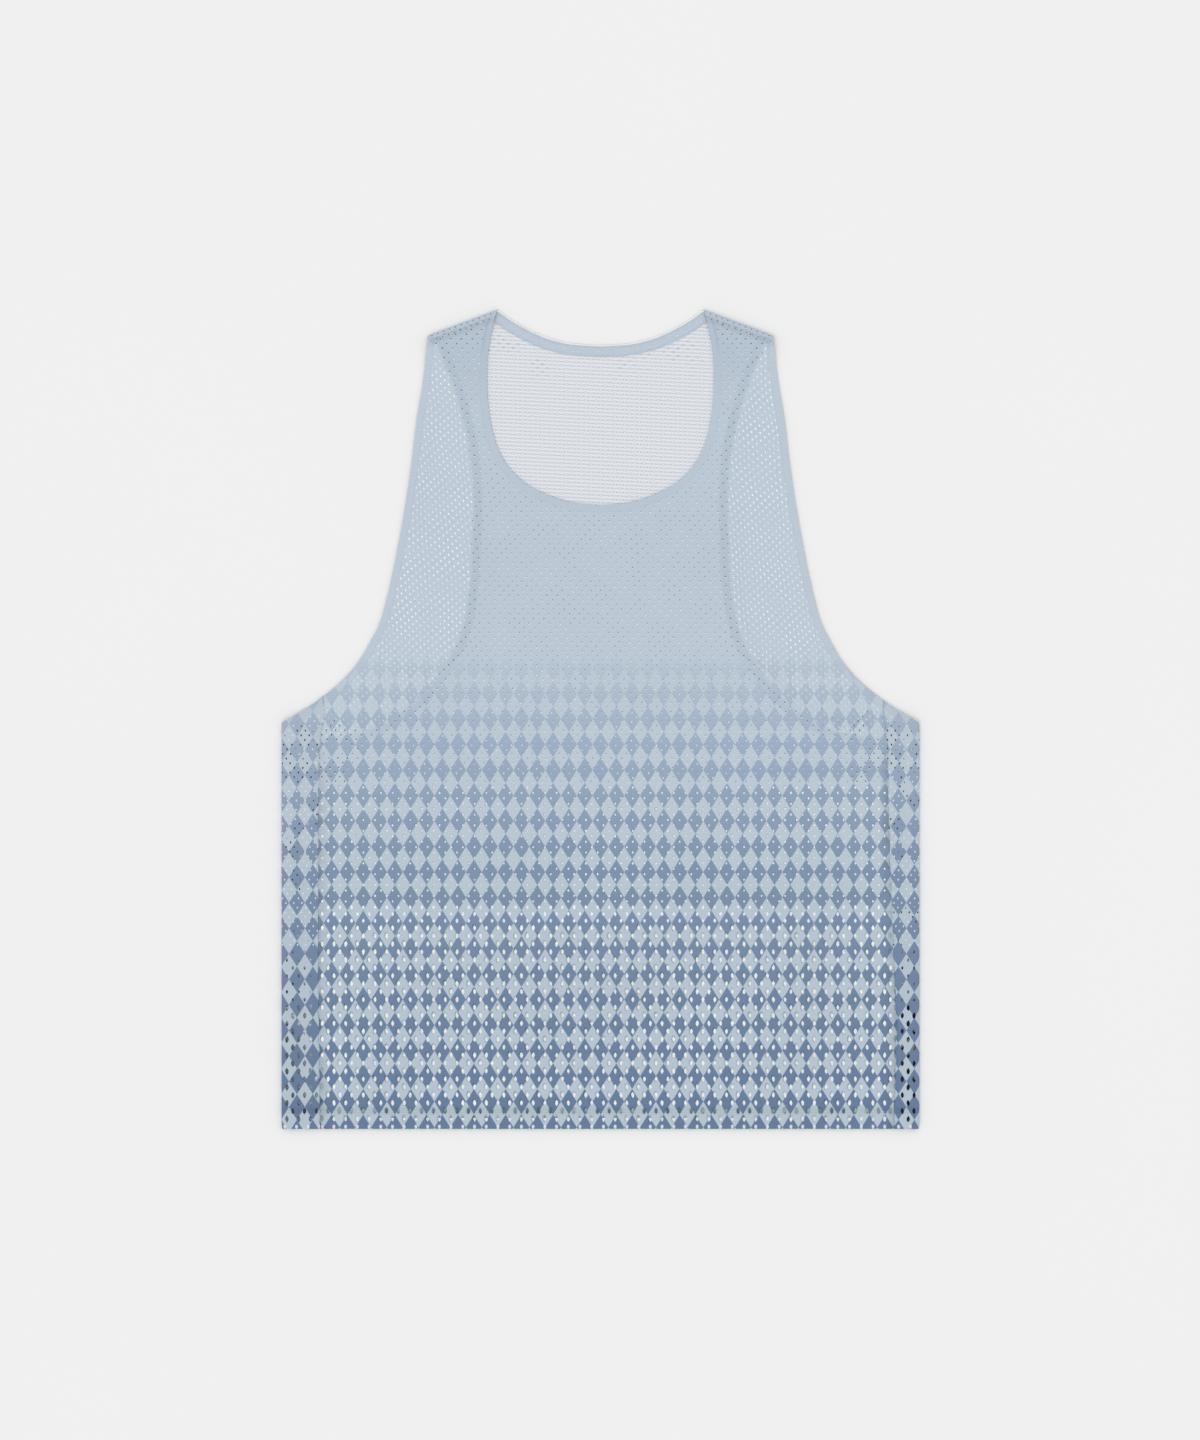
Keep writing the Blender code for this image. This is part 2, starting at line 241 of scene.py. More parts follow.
def smooth_curve(table, step=FINE_STEP):
    """Points about a step apart on a smooth curve through a table's points."""
    points = np.array(table, float)
    points = np.vstack([2 * points[0] - points[1], points, 2 * points[-1] - points[-2]])
    curve = []
    for before, start, end, after in zip(points, points[1:], points[2:], points[3:]):
        bend = 2 * before - 5 * start + 4 * end - after
        twist = 3 * start - before - 3 * end + after
        count = max(1, round(math.dist(start, end) / step))
        for t in np.arange(count) / count:
            curve.append(start + (end - before) * t / 2 + bend * t**2 / 2 + twist * t**3 / 2)
    return np.array([*curve, points[-2]])


def straight(start, end, step=FINE_STEP):
    return np.linspace(start, end, 1 + math.ceil(math.dist(start, end) / step))


def joined(*stretches):
    """Stretches end to end, where each starts at the last point of the one before."""
    return np.vstack([*(stretch[:-1] for stretch in stretches[:-1]), stretches[-1]])


def mirrored(curve):
    return curve[::-1] * (-1, 1)


def moved_left(curve, distance):
    """The curve moved to the left of its own run."""
    run = np.gradient(curve, axis=0)
    run /= np.linalg.norm(run, axis=1)[:, None]
    return curve + distance * np.stack([-run[:, 1], run[:, 0]], axis=1)


def started(curve, depth_of, depth):
    """The curve from the place where depth_of its points passes a depth."""
    depths = depth_of(curve)
    first = int(np.argmax(depths > depth))
    share = (depth - depths[first - 1]) / (depths[first] - depths[first - 1])
    start = curve[first - 1] + share * (curve[first] - curve[first - 1])
    return np.vstack([start, curve[first:][np.linalg.norm(curve[first:] - start, axis=1) > LEAST_STEP]])


def spaced(curve, pitch):
    """Points at even spacing along a curve, and the direction there."""
    along = np.insert(np.cumsum(np.linalg.norm(np.diff(curve, axis=0), axis=1)), 0, 0)
    places = np.arange(pitch / 2, along[-1], pitch)
    points = np.stack([np.interp(places, along, axis) for axis in curve.T], axis=1)
    return points, np.gradient(points, axis=0)


def distance_to(points, line, closed=True):
    """Distance from each point to the nearest place on a line or loop."""
    nearest = np.full(len(points), np.inf)
    ends = np.roll(line, -1, axis=0) if closed else line[1:]
    for start, end in zip(line, ends):
        run = end - start
        share = np.clip((points - start) @ run / (run @ run), 0, 1)
        nearest = np.minimum(nearest, np.linalg.norm(points - start - share[:, None] * run, axis=1))
    return nearest


def inside(points, loop):
    found = np.zeros(len(points), bool)
    for (x0, y0), (x1, y1) in zip(loop, np.roll(loop, -1, axis=0)):
        if y0 != y1:
            passes = (points[:, 1] < y0) != (points[:, 1] < y1)
            found ^= passes & (points[:, 0] < x0 + (points[:, 1] - y0) * (x1 - x0) / (y1 - y0))
    return found


def eased(share):
    share = np.clip(share, 0, 1)
    return share * share * (3 - 2 * share)


def wavy(along, length, phase):
    """An uneven wave between -1 and 1."""
    turn = math.tau * along / length + phase
    return 0.6 * np.sin(turn + 0.8 * np.sin(turn * 0.37)) + 0.4 * np.sin(2.3 * turn + 1.0)


# The garment in plan

SHOULDER_RUN = np.subtract(SHOULDER_TIP, NECK_POINT) / math.dist(SHOULDER_TIP, NECK_POINT)
SHOULDER_OUT = np.array([-SHOULDER_RUN[1], SHOULDER_RUN[0]])
SIDE_FOLD = HALF_CHEST - ROLL_RADIUS
ROLL_LENGTH = math.pi * ROLL_RADIUS
LATTICE = SIDE_FOLD / 54  # half the distance between holes along a row
SHOULDER_SEAM = SHOULDER_SHOW + GAP / 2


def on_right(points):
    """Points of either half, seen on the right one."""
    return np.stack([np.abs(points[:, 0]), points[:, 1]], axis=1)


def below_shoulder(points):
    """Depth below the shoulder's edge."""
    return (NECK_POINT - on_right(points)) @ SHOULDER_OUT


def below_top(points):
    return NECK_POINT[1] - points[:, 1]


def seam_x(y, side):
    """A side seam's distance from the centre line."""
    heights, left, right = np.transpose(SIDE_SEAMS)
    return np.interp(y, heights, left if side == LEFT else right) + SEAM_WAVE * wavy(y, 24.0, 2.0 * side)


def wall_at(y):
    """Thickness of a solid panel, which is greater where the hem is turned up."""
    turned = 1 - eased((y - HEM_Y - HEM_DEPTH) / HEM_RAMP)
    return CLOTH + (HEM_WALL - CLOTH) * turned


def seam_edge(side, clearance=0.0):
    """One edge of a side seam, from the armhole down to the hem."""
    armhole = smooth_curve(FRONT_ARMHOLE)
    off = np.abs(armhole[:, 0] - seam_x(armhole[:, 1], side))
    top_x = seam_x(armhole[np.argmin(off), 1], side) + clearance
    top_y = np.interp(top_x, armhole[:, 0], armhole[:, 1])
    y = straight([top_y], [HEM_Y])[:, 0]
    return np.stack([seam_x(y, side) + clearance, y], axis=1)


def whole(half, *sizes):
    """The loop of a piece, from the function that gives a side's edge from centre to centre."""
    return np.vstack([half(RIGHT, *sizes)[:-1], mirrored(half(LEFT, *sizes))[:-1]])


def front_half(side, step=FINE_STEP):
    below_seam = SHOULDER_SEAM + SEAM_GAP / 2
    neckline = started(smooth_curve(FRONT_NECKLINE, step), below_shoulder, below_seam)
    armhole = started(smooth_curve(FRONT_ARMHOLE, step), below_shoulder, below_seam)
    seam = seam_edge(side, -SEAM_GAP / 2)
    armhole = np.vstack([armhole[armhole[:, 0] < seam[0, 0] - LEAST_STEP], seam[:1]])
    hem = straight(seam[-1], (0, HEM_Y), step)
    return joined(neckline[::-1], straight(neckline[0], armhole[0], step), armhole, seam, hem)


def back_on_floor_half(_side):
    """What of the back lies on the floor, out to its folds."""
    hem_corner = (HALF_CHEST, HEM_Y)
    return joined(
        smooth_curve(BACK_NECKLINE, EDGE_STEP)[::-1],
        straight(NECK_POINT, SHOULDER_TIP, EDGE_STEP),
        smooth_curve(BACK_ARMHOLE, EDGE_STEP),
        straight(UNDERARM, hem_corner, EDGE_STEP),
        straight(hem_corner, (0, HEM_Y), EDGE_STEP),
    )


def unrolled_side(points):
    """Points of the strip that lies on the front, opened out flat beyond the side fold."""
    return np.stack([2 * SIDE_FOLD + ROLL_LENGTH - points[:, 0], points[:, 1]], axis=1)


def back_pattern_half(side):
    """The back as it is cut, with its side strip and its shoulder edge opened out flat."""
    neckline = started(smooth_curve(BACK_NECKLINE), below_shoulder, ROLL_RADIUS)
    armhole = started(smooth_curve(BACK_ARMHOLE), below_shoulder, ROLL_RADIUS)
    armhole = armhole[armhole[:, 0] < SIDE_FOLD - LEAST_STEP]
    seam = seam_edge(side, SEAM_GAP / 2)
    edge = smooth_curve(FRONT_ARMHOLE)[::-1]
    edge = edge[(edge[:, 0] > seam[0, 0] + LEAST_STEP) & (edge[:, 0] < SIDE_FOLD - LEAST_STEP)]
    roll_start = (SIDE_FOLD, UNDERARM[1] - ROLL_RADIUS / 2)
    roll_end = (SIDE_FOLD + ROLL_LENGTH, UNDERARM[1] + ROLL_RADIUS / 2)
    strip = unrolled_side(np.vstack([edge, seam]))
    depth = SHOULDER_SEAM - SEAM_GAP / 2
    flap = (ROLL_LENGTH - 2 * ROLL_RADIUS + 2 * depth) * SHOULDER_OUT
    tables = (FRONT_NECKLINE, FRONT_ARMHOLE)
    ends = [started(smooth_curve(table), below_shoulder, depth)[0] + flap for table in tables]
    corners = [neckline[0], *ends, armhole[0]]
    shoulder = joined(*(straight(start, end) for start, end in zip(corners, corners[1:])))
    hem = straight(strip[-1], (0, HEM_Y))
    side_edge = np.vstack([armhole, straight(roll_start, roll_end, 2.0), strip])
    return joined(neckline[::-1], shoulder, side_edge, hem)


# The facings in plan. Cloth lies to the left of a neckline's run and to the right of an armhole's.
Facing = namedtuple("Facing", "edge cloth_side starts ends starts_below depth_of ends_at_x on_back")
FACINGS = {
    "neck_facing_back": Facing(BACK_NECKLINE, 1, 1.0, 9.3, 2.4, below_shoulder, 0, True),
    "neck_facing_front": Facing(FRONT_NECKLINE, 1, 0.5, 8.1, 15.0, below_top, 0, True),
    "armhole_facing_back": Facing(BACK_ARMHOLE, -1, 0.8, 7.8, 2.4, below_shoulder, 205.0, True),
    "armhole_facing_front": Facing(FRONT_ARMHOLE, -1, 0.6, 5.9, 34.0, below_top, 236.0, False),
}
NECKS = ("neck_facing_back", "neck_facing_front")


def facing_edges(facing, step):
    """The facing's edge beside the opening and the one inside it, on the right half."""
    edges = []
    for inset in (facing.starts, facing.ends):
        curve = moved_left(smooth_curve(facing.edge, step), facing.cloth_side * inset)
        curve = started(curve, facing.depth_of, facing.starts_below)
        if facing.ends_at_x:
            curve = started(curve[::-1], lambda points: -points[:, 0], -facing.ends_at_x)[::-1]
        edges.append(curve)
    return edges


def facing_pieces(step):
    """Name, both edges and level of each facing. A neck's facing is one piece over both halves."""
    for name, facing in FACINGS.items():
        edges = facing_edges(facing, step)
        if name in NECKS:
            yield name, [joined(edge, mirrored(edge)) for edge in edges], facing.on_back
        else:
            yield name + "_right", edges, facing.on_back
            yield name + "_left", [edge * (-1, 1) for edge in edges], facing.on_back


def loop_of(edges):
    return np.vstack([edges[0], edges[1][::-1]])


COARSE_FACINGS = list(facing_pieces(EDGE_STEP))
FRONT_LOOP = whole(front_half, EDGE_STEP)
ON_BACK = [loop_of(edges) for _, edges, on_back in COARSE_FACINGS if on_back]
ON_FLOOR = [loop_of(edges) for _, edges, on_back in COARSE_FACINGS if not on_back]
ON_FLOOR.append(whole(back_on_floor_half))


def both_sides(half):
    return [half, half * (-1, 1)]


def least_distance(points, lines):
    return np.min([distance_to(points, line, closed=False) for line in lines], axis=0)


# Heights of the layers


def cover(points, loops):
    """1 over the pieces and close beside them, coming down smoothly to 0."""
    most = np.zeros(len(points))
    for loop in loops:
        away = np.where(inside(points, loop), 0, distance_to(points, loop))
        most = np.maximum(most, 1 - eased((away - FULL_LIFT) / RAMP))
    return most


def swell_at(points):
    """Height of the loose swells, which die out towards the front's edges."""
    waves = 0
    for across, along, phase in SWELLS:
        waves = waves + np.sin(math.tau * (points[:, 0] / across + points[:, 1] / along) + phase)
    share = 0.5 + 0.5 * waves / len(SWELLS)
    return SWELL_HEIGHT * share * eased(distance_to(points, FRONT_LOOP) / SWELL_BORDER)


def underside_at(points):
    """Height of the top layer's underside over each place in plan."""
    wall = wall_at(points[:, 1])
    first = (wall + REST_GAP) * cover(points, ON_FLOOR)
    second = (TAPE_WALL + REST_GAP) * cover(points, ON_BACK)
    swell = np.where(inside(points, FRONT_LOOP), SWELL_LEFT * swell_at(points), 0)
    height = first + second + swell
    from_side = SIDE_FOLD - np.abs(points[:, 0])
    from_shoulder = below_shoulder(points) - ROLL_RADIUS
    rolled = 1 - eased(np.minimum(from_side, from_shoulder) / ROLL_SETTLES)
    return height + (2 * ROLL_RADIUS - wall - height) * rolled


def seam_relief(points):
    """The seams draw the cloth down, and pucker it on both sides."""
    cloth = bpy.context.scene.singlet_cloth
    sides = np.where(points[:, 0] < 0, LEFT, RIGHT)
    seam = np.where(sides == LEFT, seam_x(points[:, 1], LEFT), seam_x(points[:, 1], RIGHT))
    from_seam = np.abs(np.abs(points[:, 0]) - seam)
    from_shoulder = np.abs(below_shoulder(points) - SHOULDER_SEAM)
    groove = -cloth.seam_depth * np.exp(-((from_seam / 1.5) ** 2))
    groove = groove - 0.3 * cloth.seam_depth * np.exp(-((from_shoulder / 1.2) ** 2))
    pucker = wavy(points[:, 1], cloth.pucker_length, sides) * np.exp(-((from_seam / 5.0) ** 2))
    hem_line = np.abs(points[:, 1] - HEM_Y - HEM_DEPTH + 1.0)
    ripple = wavy(points[:, 0], 17.0, 0.3) * np.exp(-((hem_line / 9.0) ** 2))
    return groove + cloth.pucker_height * pucker + cloth.hem_ripple * ripple


def drawn_in(share, from_edge):
    """The share of the wall, drawn together where the cloth is turned at an edge."""
    opened = np.sqrt(1 - (1 - np.clip(from_edge / EDGE_RING, 0, 1)) ** 2)
    return 0.5 + (share - 0.5) * (EDGE_WALL + (1 - EDGE_WALL) * opened)


def laid_front(points, share, from_edge):
    """Places of the front's points, with the share of the wall from its inside to its outside."""
    wall = wall_at(points[:, 1]) * FRONT_WALL
    beside_strip = wall_at(points[:, 1]) - wall
    near_side = STRIP_STEP * (1 - eased(least_distance(points, side_seams()) / 4))
    near_shoulder = 1 - eased(np.abs(below_shoulder(points) - SHOULDER_SEAM) / 9)
    raised = np.maximum(near_side, near_shoulder) * beside_strip
    under = underside_at(points) + raised
    height = under + drawn_in(share, from_edge) * wall + np.maximum(seam_relief(points), -0.8 * under)
    return np.column_stack([points, height])


def rolled_over(over, depth):
    """Run past the fold line and height of a point that lies so far past it on the pattern."""
    angle = np.clip(over / ROLL_RADIUS, 0, math.pi)
    onward = np.minimum(over, 0) - np.maximum(over - ROLL_LENGTH, 0)
    run = onward + (ROLL_RADIUS - depth) * np.sin(angle)
    return run, ROLL_RADIUS - (ROLL_RADIUS - depth) * np.cos(angle)


def laid_back(points, share, from_edge):
    """Places of the back's points: on the floor, round the folds and on top again."""
    wall = wall_at(points[:, 1])
    depth = drawn_in(share, from_edge) * wall
    side = np.sign(points[:, 0])
    right = on_right(points)
    over_side = right[:, 0] - SIDE_FOLD
    over_shoulder = ROLL_RADIUS - below_shoulder(points)
    run, side_height = rolled_over(over_side, depth)
    plan = np.stack([SIDE_FOLD + run, right[:, 1]], axis=1)
    run, shoulder_height = rolled_over(over_shoulder, depth)
    plan = plan + np.outer(run - over_shoulder, SHOULDER_OUT)
    height = np.where(over_shoulder > 0, shoulder_height, side_height)
    plan[:, 0] *= side
    on_top = np.maximum(over_side, over_shoulder) > ROLL_LENGTH
    under = underside_at(plan)
    top_height = under + wall - depth + np.maximum(seam_relief(plan), -0.8 * under)
    height = np.where(on_top, top_height, height)
    return np.column_stack([plan, height])


# Meshes


def cut_along(sheet, point, normal):
    geometry = [*sheet.verts, *sheet.edges, *sheet.faces]
    bmesh.ops.bisect_plane(sheet, geom=geometry, dist=0.02, plane_co=(*point, 0), plane_no=(*normal, 0))


def knit_rows(zones, top_y):
    """The lines between the knit's rows from the hem up, and the zone over each line that has holes."""
    lines, holes = [HEM_Y + FIRST_ROW], []
    for zone in zones:
        for _ in range(zone.rows):
            lines.append(lines[-1] + zone.pitch)
            holes.append(zone)
    lines.extend(np.arange(lines[-1] + PLAIN_PITCH, top_y, PLAIN_PITCH))
    return lines, holes


def ringed_sheet(loop):
    """A flat face inside a loop, with two bands of fine faces along its edge."""
    sheet = bmesh.new()
    corners = [sheet.verts.new((*point, 0)) for point in loop]
    sheet.faces.new(corners)
    for width in (EDGE_RING, SEAM_RING):
        middle = max(sheet.faces, key=lambda face: face.calc_area())
        bmesh.ops.inset_region(sheet, faces=[middle], thickness=width, use_even_offset=True)
    return sheet


def lens_point(offset, zone, size):
    """Where a corner of a hole's cell goes on the hole's lens-shaped rim."""
    across = 0 if abs(offset.x) < 0.1 else math.copysign(1, offset.x)
    along = 0 if abs(offset.y) < 0.1 else math.copysign(1, offset.y)
    if across and along:
        across, along = 0.74 * across, 0.52 * along
    return Vector((across * zone.half_width * size, along * zone.half_height * size, 0))


def top_of(zones):
    return HEM_Y + FIRST_ROW + sum(zone.rows * zone.pitch for zone in zones)


def open_holes(sheet, lines, holes, odd):
    """Opens a lens-shaped hole in every second whole cell of the lattice."""
    chosen = []
    for face in sheet.faces:
        centre = face.calc_center_bounds()
        row = bisect(lines, centre.y) - 1
        if len(face.verts) != 4 or not 0 <= row < len(holes):
            continue
        beyond = math.copysign(ROLL_LENGTH, centre.x) if abs(centre.x) > SIDE_FOLD else 0
        column = math.floor((centre.x - beyond) / LATTICE)
        if (row + column + odd) % 2 == 0 and face.calc_area() > 0.99 * LATTICE * holes[row].pitch:
            chosen.append((face, centre, holes[row]))
    for edge in {edge for face, *_ in chosen for edge in face.edges}:
        bmesh.utils.edge_split(edge, edge.verts[0], 0.5)
    bmesh.ops.inset_individual(sheet, faces=[face for face, *_ in chosen], thickness=0.5)
    chance = np.random.default_rng(11)
    for face, centre, zone in chosen:
        size = 1 + chance.uniform(-HOLE_JITTER, HOLE_JITTER)
        tilt = Matrix.Rotation(chance.uniform(-HOLE_TILT, HOLE_TILT), 3, "Z")
        for corner in face.verts:
            corner.co = centre + tilt @ lens_point(corner.co - centre, zone, size)
    bmesh.ops.delete(sheet, geom=[face for face, *_ in chosen], context="FACES_ONLY")


def strip_sheet(edges):
    """A flat mesh between the two edges of a facing."""
    sheet = bmesh.new()
    count = len(edges[0])
    for edge in edges:
        along = np.linspace(0, len(edge) - 1, count)
        places = np.stack([np.interp(along, range(len(edge)), axis) for axis in edge.T], axis=1)
        corners = [sheet.verts.new((*point, 0)) for point in places]
        for start, end in zip(corners, corners[1:]):
            sheet.edges.new((start, end))
    made = bmesh.ops.bridge_loops(sheet, edges=sheet.edges[:])
    bmesh.ops.subdivide_edges(sheet, edges=made["edges"], cuts=FACING_STEPS, use_grid_fill=True)
    return sheet


def cloth_piece(name, sheet, loop, place, measure, finishes, outside=1):
    """Gives a flat sheet its wall, lays it in place and makes it an object.

    Its materials are those of the underside, the top and the walls of the holes. The walls along the loop are
    turned edges, so they get the outside's. "cloth" and "edges" hold what the materials read.
    """
    bmesh.ops.recalc_face_normals(sheet, faces=sheet.faces[:])
    bmesh.ops.solidify(sheet, geom=sheet.faces[:], thickness=1.0)
    for corner in sheet.verts:
        corner.co.z = abs(corner.co.z)
    bmesh.ops.recalc_face_normals(sheet, faces=sheet.faces[:])
    mesh = bpy.data.meshes.new(name)
    sheet.to_mesh(mesh)
    sheet.free()
    flat = values_of(mesh.vertices, "co", 3)
    points, share = flat[:, :2], flat[:, 2]
    from_edge = distance_to(points, loop)
    normals = values_of(mesh.polygons, "normal", 3)
    centres = values_of(mesh.polygons, "center", 3)
    turned = distance_to(centres[:, :2], loop) < 0.05
    kinds = [normals[:, 2] < -0.5, normals[:, 2] > 0.5, turned]
    mesh.polygons.foreach_set("material_index", np.select(kinds, [0, 1, outside], 2))
    for finish in finishes:
        mesh.materials.append(finish)
    add_bake_map(mesh, flat, normals)
    placed = place(points, share, from_edge)
    for layer, values in zip(("cloth", "edges"), measure(points, placed, from_edge)):
        values = np.column_stack(values).astype(np.float32)
        mesh.attributes.new(layer, "FLOAT_VECTOR", "POINT").data.foreach_set("vector", values.ravel())
    mesh.vertices.foreach_set("co", (placed * MM).astype(np.float32).ravel())
    mesh.update()
    mesh.shade_smooth()
    mesh.set_sharp_from_angle(angle=math.radians(55))
    return make_object(name, mesh)


def values_of(data, name, width):
    found = np.empty(len(data) * width, np.float32)
    data.foreach_get(name, found)
    return found.reshape(-1, width).astype(float)


def add_bake_map(mesh, flat, normals):
    """Both faces of the cloth side by side on one map. A wall's foot is set a little off its top edge."""
    corners = np.empty(len(mesh.loops), np.int32)
    mesh.loops.foreach_get("vertex_index", corners)
    counts = np.empty(len(mesh.polygons), np.int32)
    mesh.polygons.foreach_get("loop_total", counts)
    normals = np.repeat(normals, counts, axis=0)
    places = flat[corners, :2]
    is_wall = np.abs(normals[:, 2]) < 0.5
    foot = is_wall & (flat[corners, 2] < 0.5)
    places = places + np.where(foot[:, None], 0.45 * normals[:, :2], 0)
    low, high = flat[:, :2].min(axis=0) - 1, flat[:, :2].max(axis=0) + 1
    scale = min(0.5 / (high[0] - low[0]), 1 / (high[1] - low[1]))
    uv = (places - low) * scale
    uv[:, 0] += np.where(normals[:, 2] < -0.5, 0.5, 0)
    mesh.uv_layers.new(name="OFBake").data.foreach_set("uv", uv.astype(np.float32).ravel())


def make_object(name, mesh):
    piece = bpy.data.objects.new(name, mesh)
    bpy.context.scene.collection.objects.link(piece)
    return piece


def sewn(name, rows, thread, size):
    """Stitches along rows, each given as places in space and the run there.

    The size is a stitch's length, width and height.
    """
    row_mesh = bmesh.new()
    for places, runs in rows:
        for place, run in zip(places, runs):
            turned = Vector(run).to_track_quat("X", "Z").to_matrix().to_4x4()
            scaled = Matrix.Diagonal((*(extent * MM / 2 for extent in size), 1))
            matrix = Matrix.Translation(Vector(place) * MM) @ turned @ scaled
            bmesh.ops.create_uvsphere(row_mesh, u_segments=6, v_segments=4, radius=1, matrix=matrix)
    mesh = bpy.data.meshes.new(name)
    row_mesh.to_mesh(mesh)
    row_mesh.free()
    mesh.shade_smooth()
    mesh.materials.append(thread)
    piece = make_object(name, mesh)
    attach(piece, "root")
    return piece


# Materials


class Term:
    """A number that varies over a surface, for use in sums and products."""

    def __init__(self, finish, socket):
        self.finish = finish
        self.socket = socket

    def math(self, operation, *values):
        return self.finish.node("ShaderNodeMath", {"operation": operation}, dict(enumerate(values)))

    def __add__(self, other):
        return self.math("ADD", self, other)

    def __sub__(self, other):
        return self.math("SUBTRACT", self, other)

    def __rsub__(self, other):
        return self.math("SUBTRACT", other, self)

    def __mul__(self, other):
        return self.math("MULTIPLY", self, other)

    def __truediv__(self, other):
        return self.math("DIVIDE", self, other)

    def __rtruediv__(self, other):
        return self.math("DIVIDE", other, self)

    def __mod__(self, other):
        return self.math("FLOORED_MODULO", self, other)

    def __pow__(self, other):
        return self.math("POWER", self, other)

    def __abs__(self):
        return self.math("ABSOLUTE", self)

    def __floor__(self):
        return self.math("FLOOR", self)

    __radd__ = __add__
    __rmul__ = __mul__


class Finish:
    """A material, built up from terms and colours."""

    def __init__(self, name, roughness=0.85, gloss=0.2):
        self.material = bpy.data.materials.new(name)
        self.material.use_nodes = True
        self.nodes = self.material.node_tree.nodes
        self.shader = self.nodes["Principled BSDF"]
        self.feed(self.shader.inputs["Roughness"], roughness)
        self.feed(self.shader.inputs["Specular IOR Level"], gloss)

    def node(self, kind, settings=(), sockets=(), output=0):
        made = self.nodes.new(kind)
        for name, value in dict(settings).items():
            if name == "stops":
                self.set_stops(made.color_ramp.elements, value)
            else:
                setattr(made, name, value)
        for name, value in dict(sockets).items():
            self.feed(made.inputs[name], value)
        return Term(self, made.outputs[output])

    def set_stops(self, elements, stops):
        elements.remove(elements[-1])
        elements[0].position, elements[0].color = stops[0]
        for position, colour in stops[1:]:
            elements.new(position).color = colour

    def feed(self, socket, value):
        if isinstance(value, Term):
            self.material.node_tree.links.new(value.socket, socket)
        else:
            socket.default_value = value

    def parts(self, attribute):
        """The three numbers that an attribute holds."""
        vector = self.node("ShaderNodeAttribute", {"attribute_name": attribute}, output="Vector")
        split = self.node("ShaderNodeSeparateXYZ", sockets={0: vector})
        return [Term(self, socket) for socket in split.socket.node.outputs]

    def vector(self, x, y, z=0.0):
        return self.node("ShaderNodeCombineXYZ", sockets={0: x, 1: y, 2: z})

    def step(self, value, start, end):
        """A soft step from 0 to 1 while the value goes from start to end."""
        settings = {"interpolation_type": "SMOOTHSTEP"}
        return self.node("ShaderNodeMapRange", settings, {0: value, 1: start, 2: end})

    def noise(self, vector, scale, detail=2.0):
        sockets = {"Vector": vector, "Scale": scale, "Detail": detail}
        return self.node("ShaderNodeTexNoise", {"noise_dimensions": "3D"}, sockets)

    def mix(self, share, first, second):
        """From the first colour at 0 to the second at 1."""
        return self.node("ShaderNodeMix", {"data_type": "RGBA"}, {0: share, 6: first, 7: second}, 2)

    def shade(self, colour, factor):
        """The colour made lighter or darker by a factor."""
        grey = self.vector(factor, factor, factor)
        settings = {"data_type": "RGBA", "blend_type": "MULTIPLY"}
        return self.node("ShaderNodeMix", settings, {0: 1.0, 6: colour, 7: grey}, 2)

    def ramp(self, value, stops):
        return self.node("ShaderNodeValToRGB", {"stops": stops}, {0: value})

    def relief(self, height, distance):
        sockets = {"Height": height, "Distance": distance}
        self.feed(self.shader.inputs["Normal"], self.node("ShaderNodeBump", sockets=sockets))

    def done(self, colour):
        self.feed(self.shader.inputs["Base Color"], colour)
        return self.material


def linear(red, green, blue):
    """A screen colour, given in 0 to 255, as the renderer counts it, with its alpha of 1."""
    channels = (channel / 255 for channel in (red, green, blue))
    return (*(c / 12.92 if c <= 0.04045 else ((c + 0.055) / 1.055) ** 2.4 for c in channels), 1.0)


def sine(term):
    return term.math("SINE", term)


def dots(finish, u, v, across, along, half_width, half_height):
    """1 in the dots of a staggered lattice."""
    row = math.floor(v / along)
    shifted = u / across + row % 2 * 0.5
    from_u = (shifted % 1 - 0.5) * (across / half_width)
    from_v = (v / along % 1 - 0.5) * (along / half_height)
    return 1 - finish.step(from_u * from_u + from_v * from_v, 0.6, 1.3)


def diamonds(finish, u, v, width, height):
    """1 in every second diamond of straight rows, and 0 in those between."""
    from_u = abs(u / width % 1 - 0.5)
    from_v = abs(v / height % 1 - 0.5)
    return finish.step(from_u + from_v, 0.485, 0.515)


class Knit(Finish):
    """A finish of the mesh, with what it knows of each place.

    That is its flat place across and along, and how far it is from the nearest seam and the nearest opening,
    into the back and from the hem.
    """

    def __init__(self, name):
        super().__init__(name)
        self.colours = bpy.context.scene.singlet_colours
        self.u, self.v, self.from_seam = self.parts("cloth")
        self.from_opening, self.within_back, self.hem_height = self.parts("edges")
        self.place = self.vector(self.u, self.v)


def loops_of(knit):
    """Fine relief of the knit's loops."""
    courses = sine(knit.v * (math.tau / 1.9) + sine(knit.u * (math.tau / 3.8)) * 0.4)
    wales = sine(knit.u * (math.tau / 1.3))
    return courses * 0.75 + wales * 0.25


def over_facing(knit):
    """1 where the facing of the back's armhole lies below."""
    band = knit.step(knit.within_back, 0.2, 3.0) * knit.step(knit.within_back, 9.6, 6.2)
    return band * knit.step(knit.v, -20.0, -8.0)


def by_shoulder(knit):
    """1 beside the shoulder seam."""
    return knit.step(knit.v, 258.0, 282.0) * knit.step(knit.from_seam, 22.0, 8.0)


def plain_blue(knit, is_front):
    """One layer of cloth is painted lighter than two, for the light that comes through the sheer knit, and
    painted shade darkens it over a facing, in the strap and along the openings.
    """
    darker = knit.colours.over_facing
    # painted light and shade: one layer alone over the floor is lighter, and the knit over the armhole's
    # facing darker
    two_layers = knit.step(knit.within_back, -0.6, 0.9)
    ground = knit.mix(two_layers, knit.colours.single, knit.colours.double)
    if is_front:
        ground = knit.mix(over_facing(knit) * 0.62, ground, darker)
        # painted shade in the strap, near the shoulder
        strap_shade = knit.step(knit.v, 235.0, 290.0) * knit.step(knit.within_back, 0.0, 8.0)
        ground = knit.mix(strap_shade * 0.55, ground, darker)
    # painted shade along the openings, over the facings below
    edge_shade = knit.step(knit.from_opening, 7.0, 4.8)
    return knit.mix(edge_shade * 0.16, ground, darker)


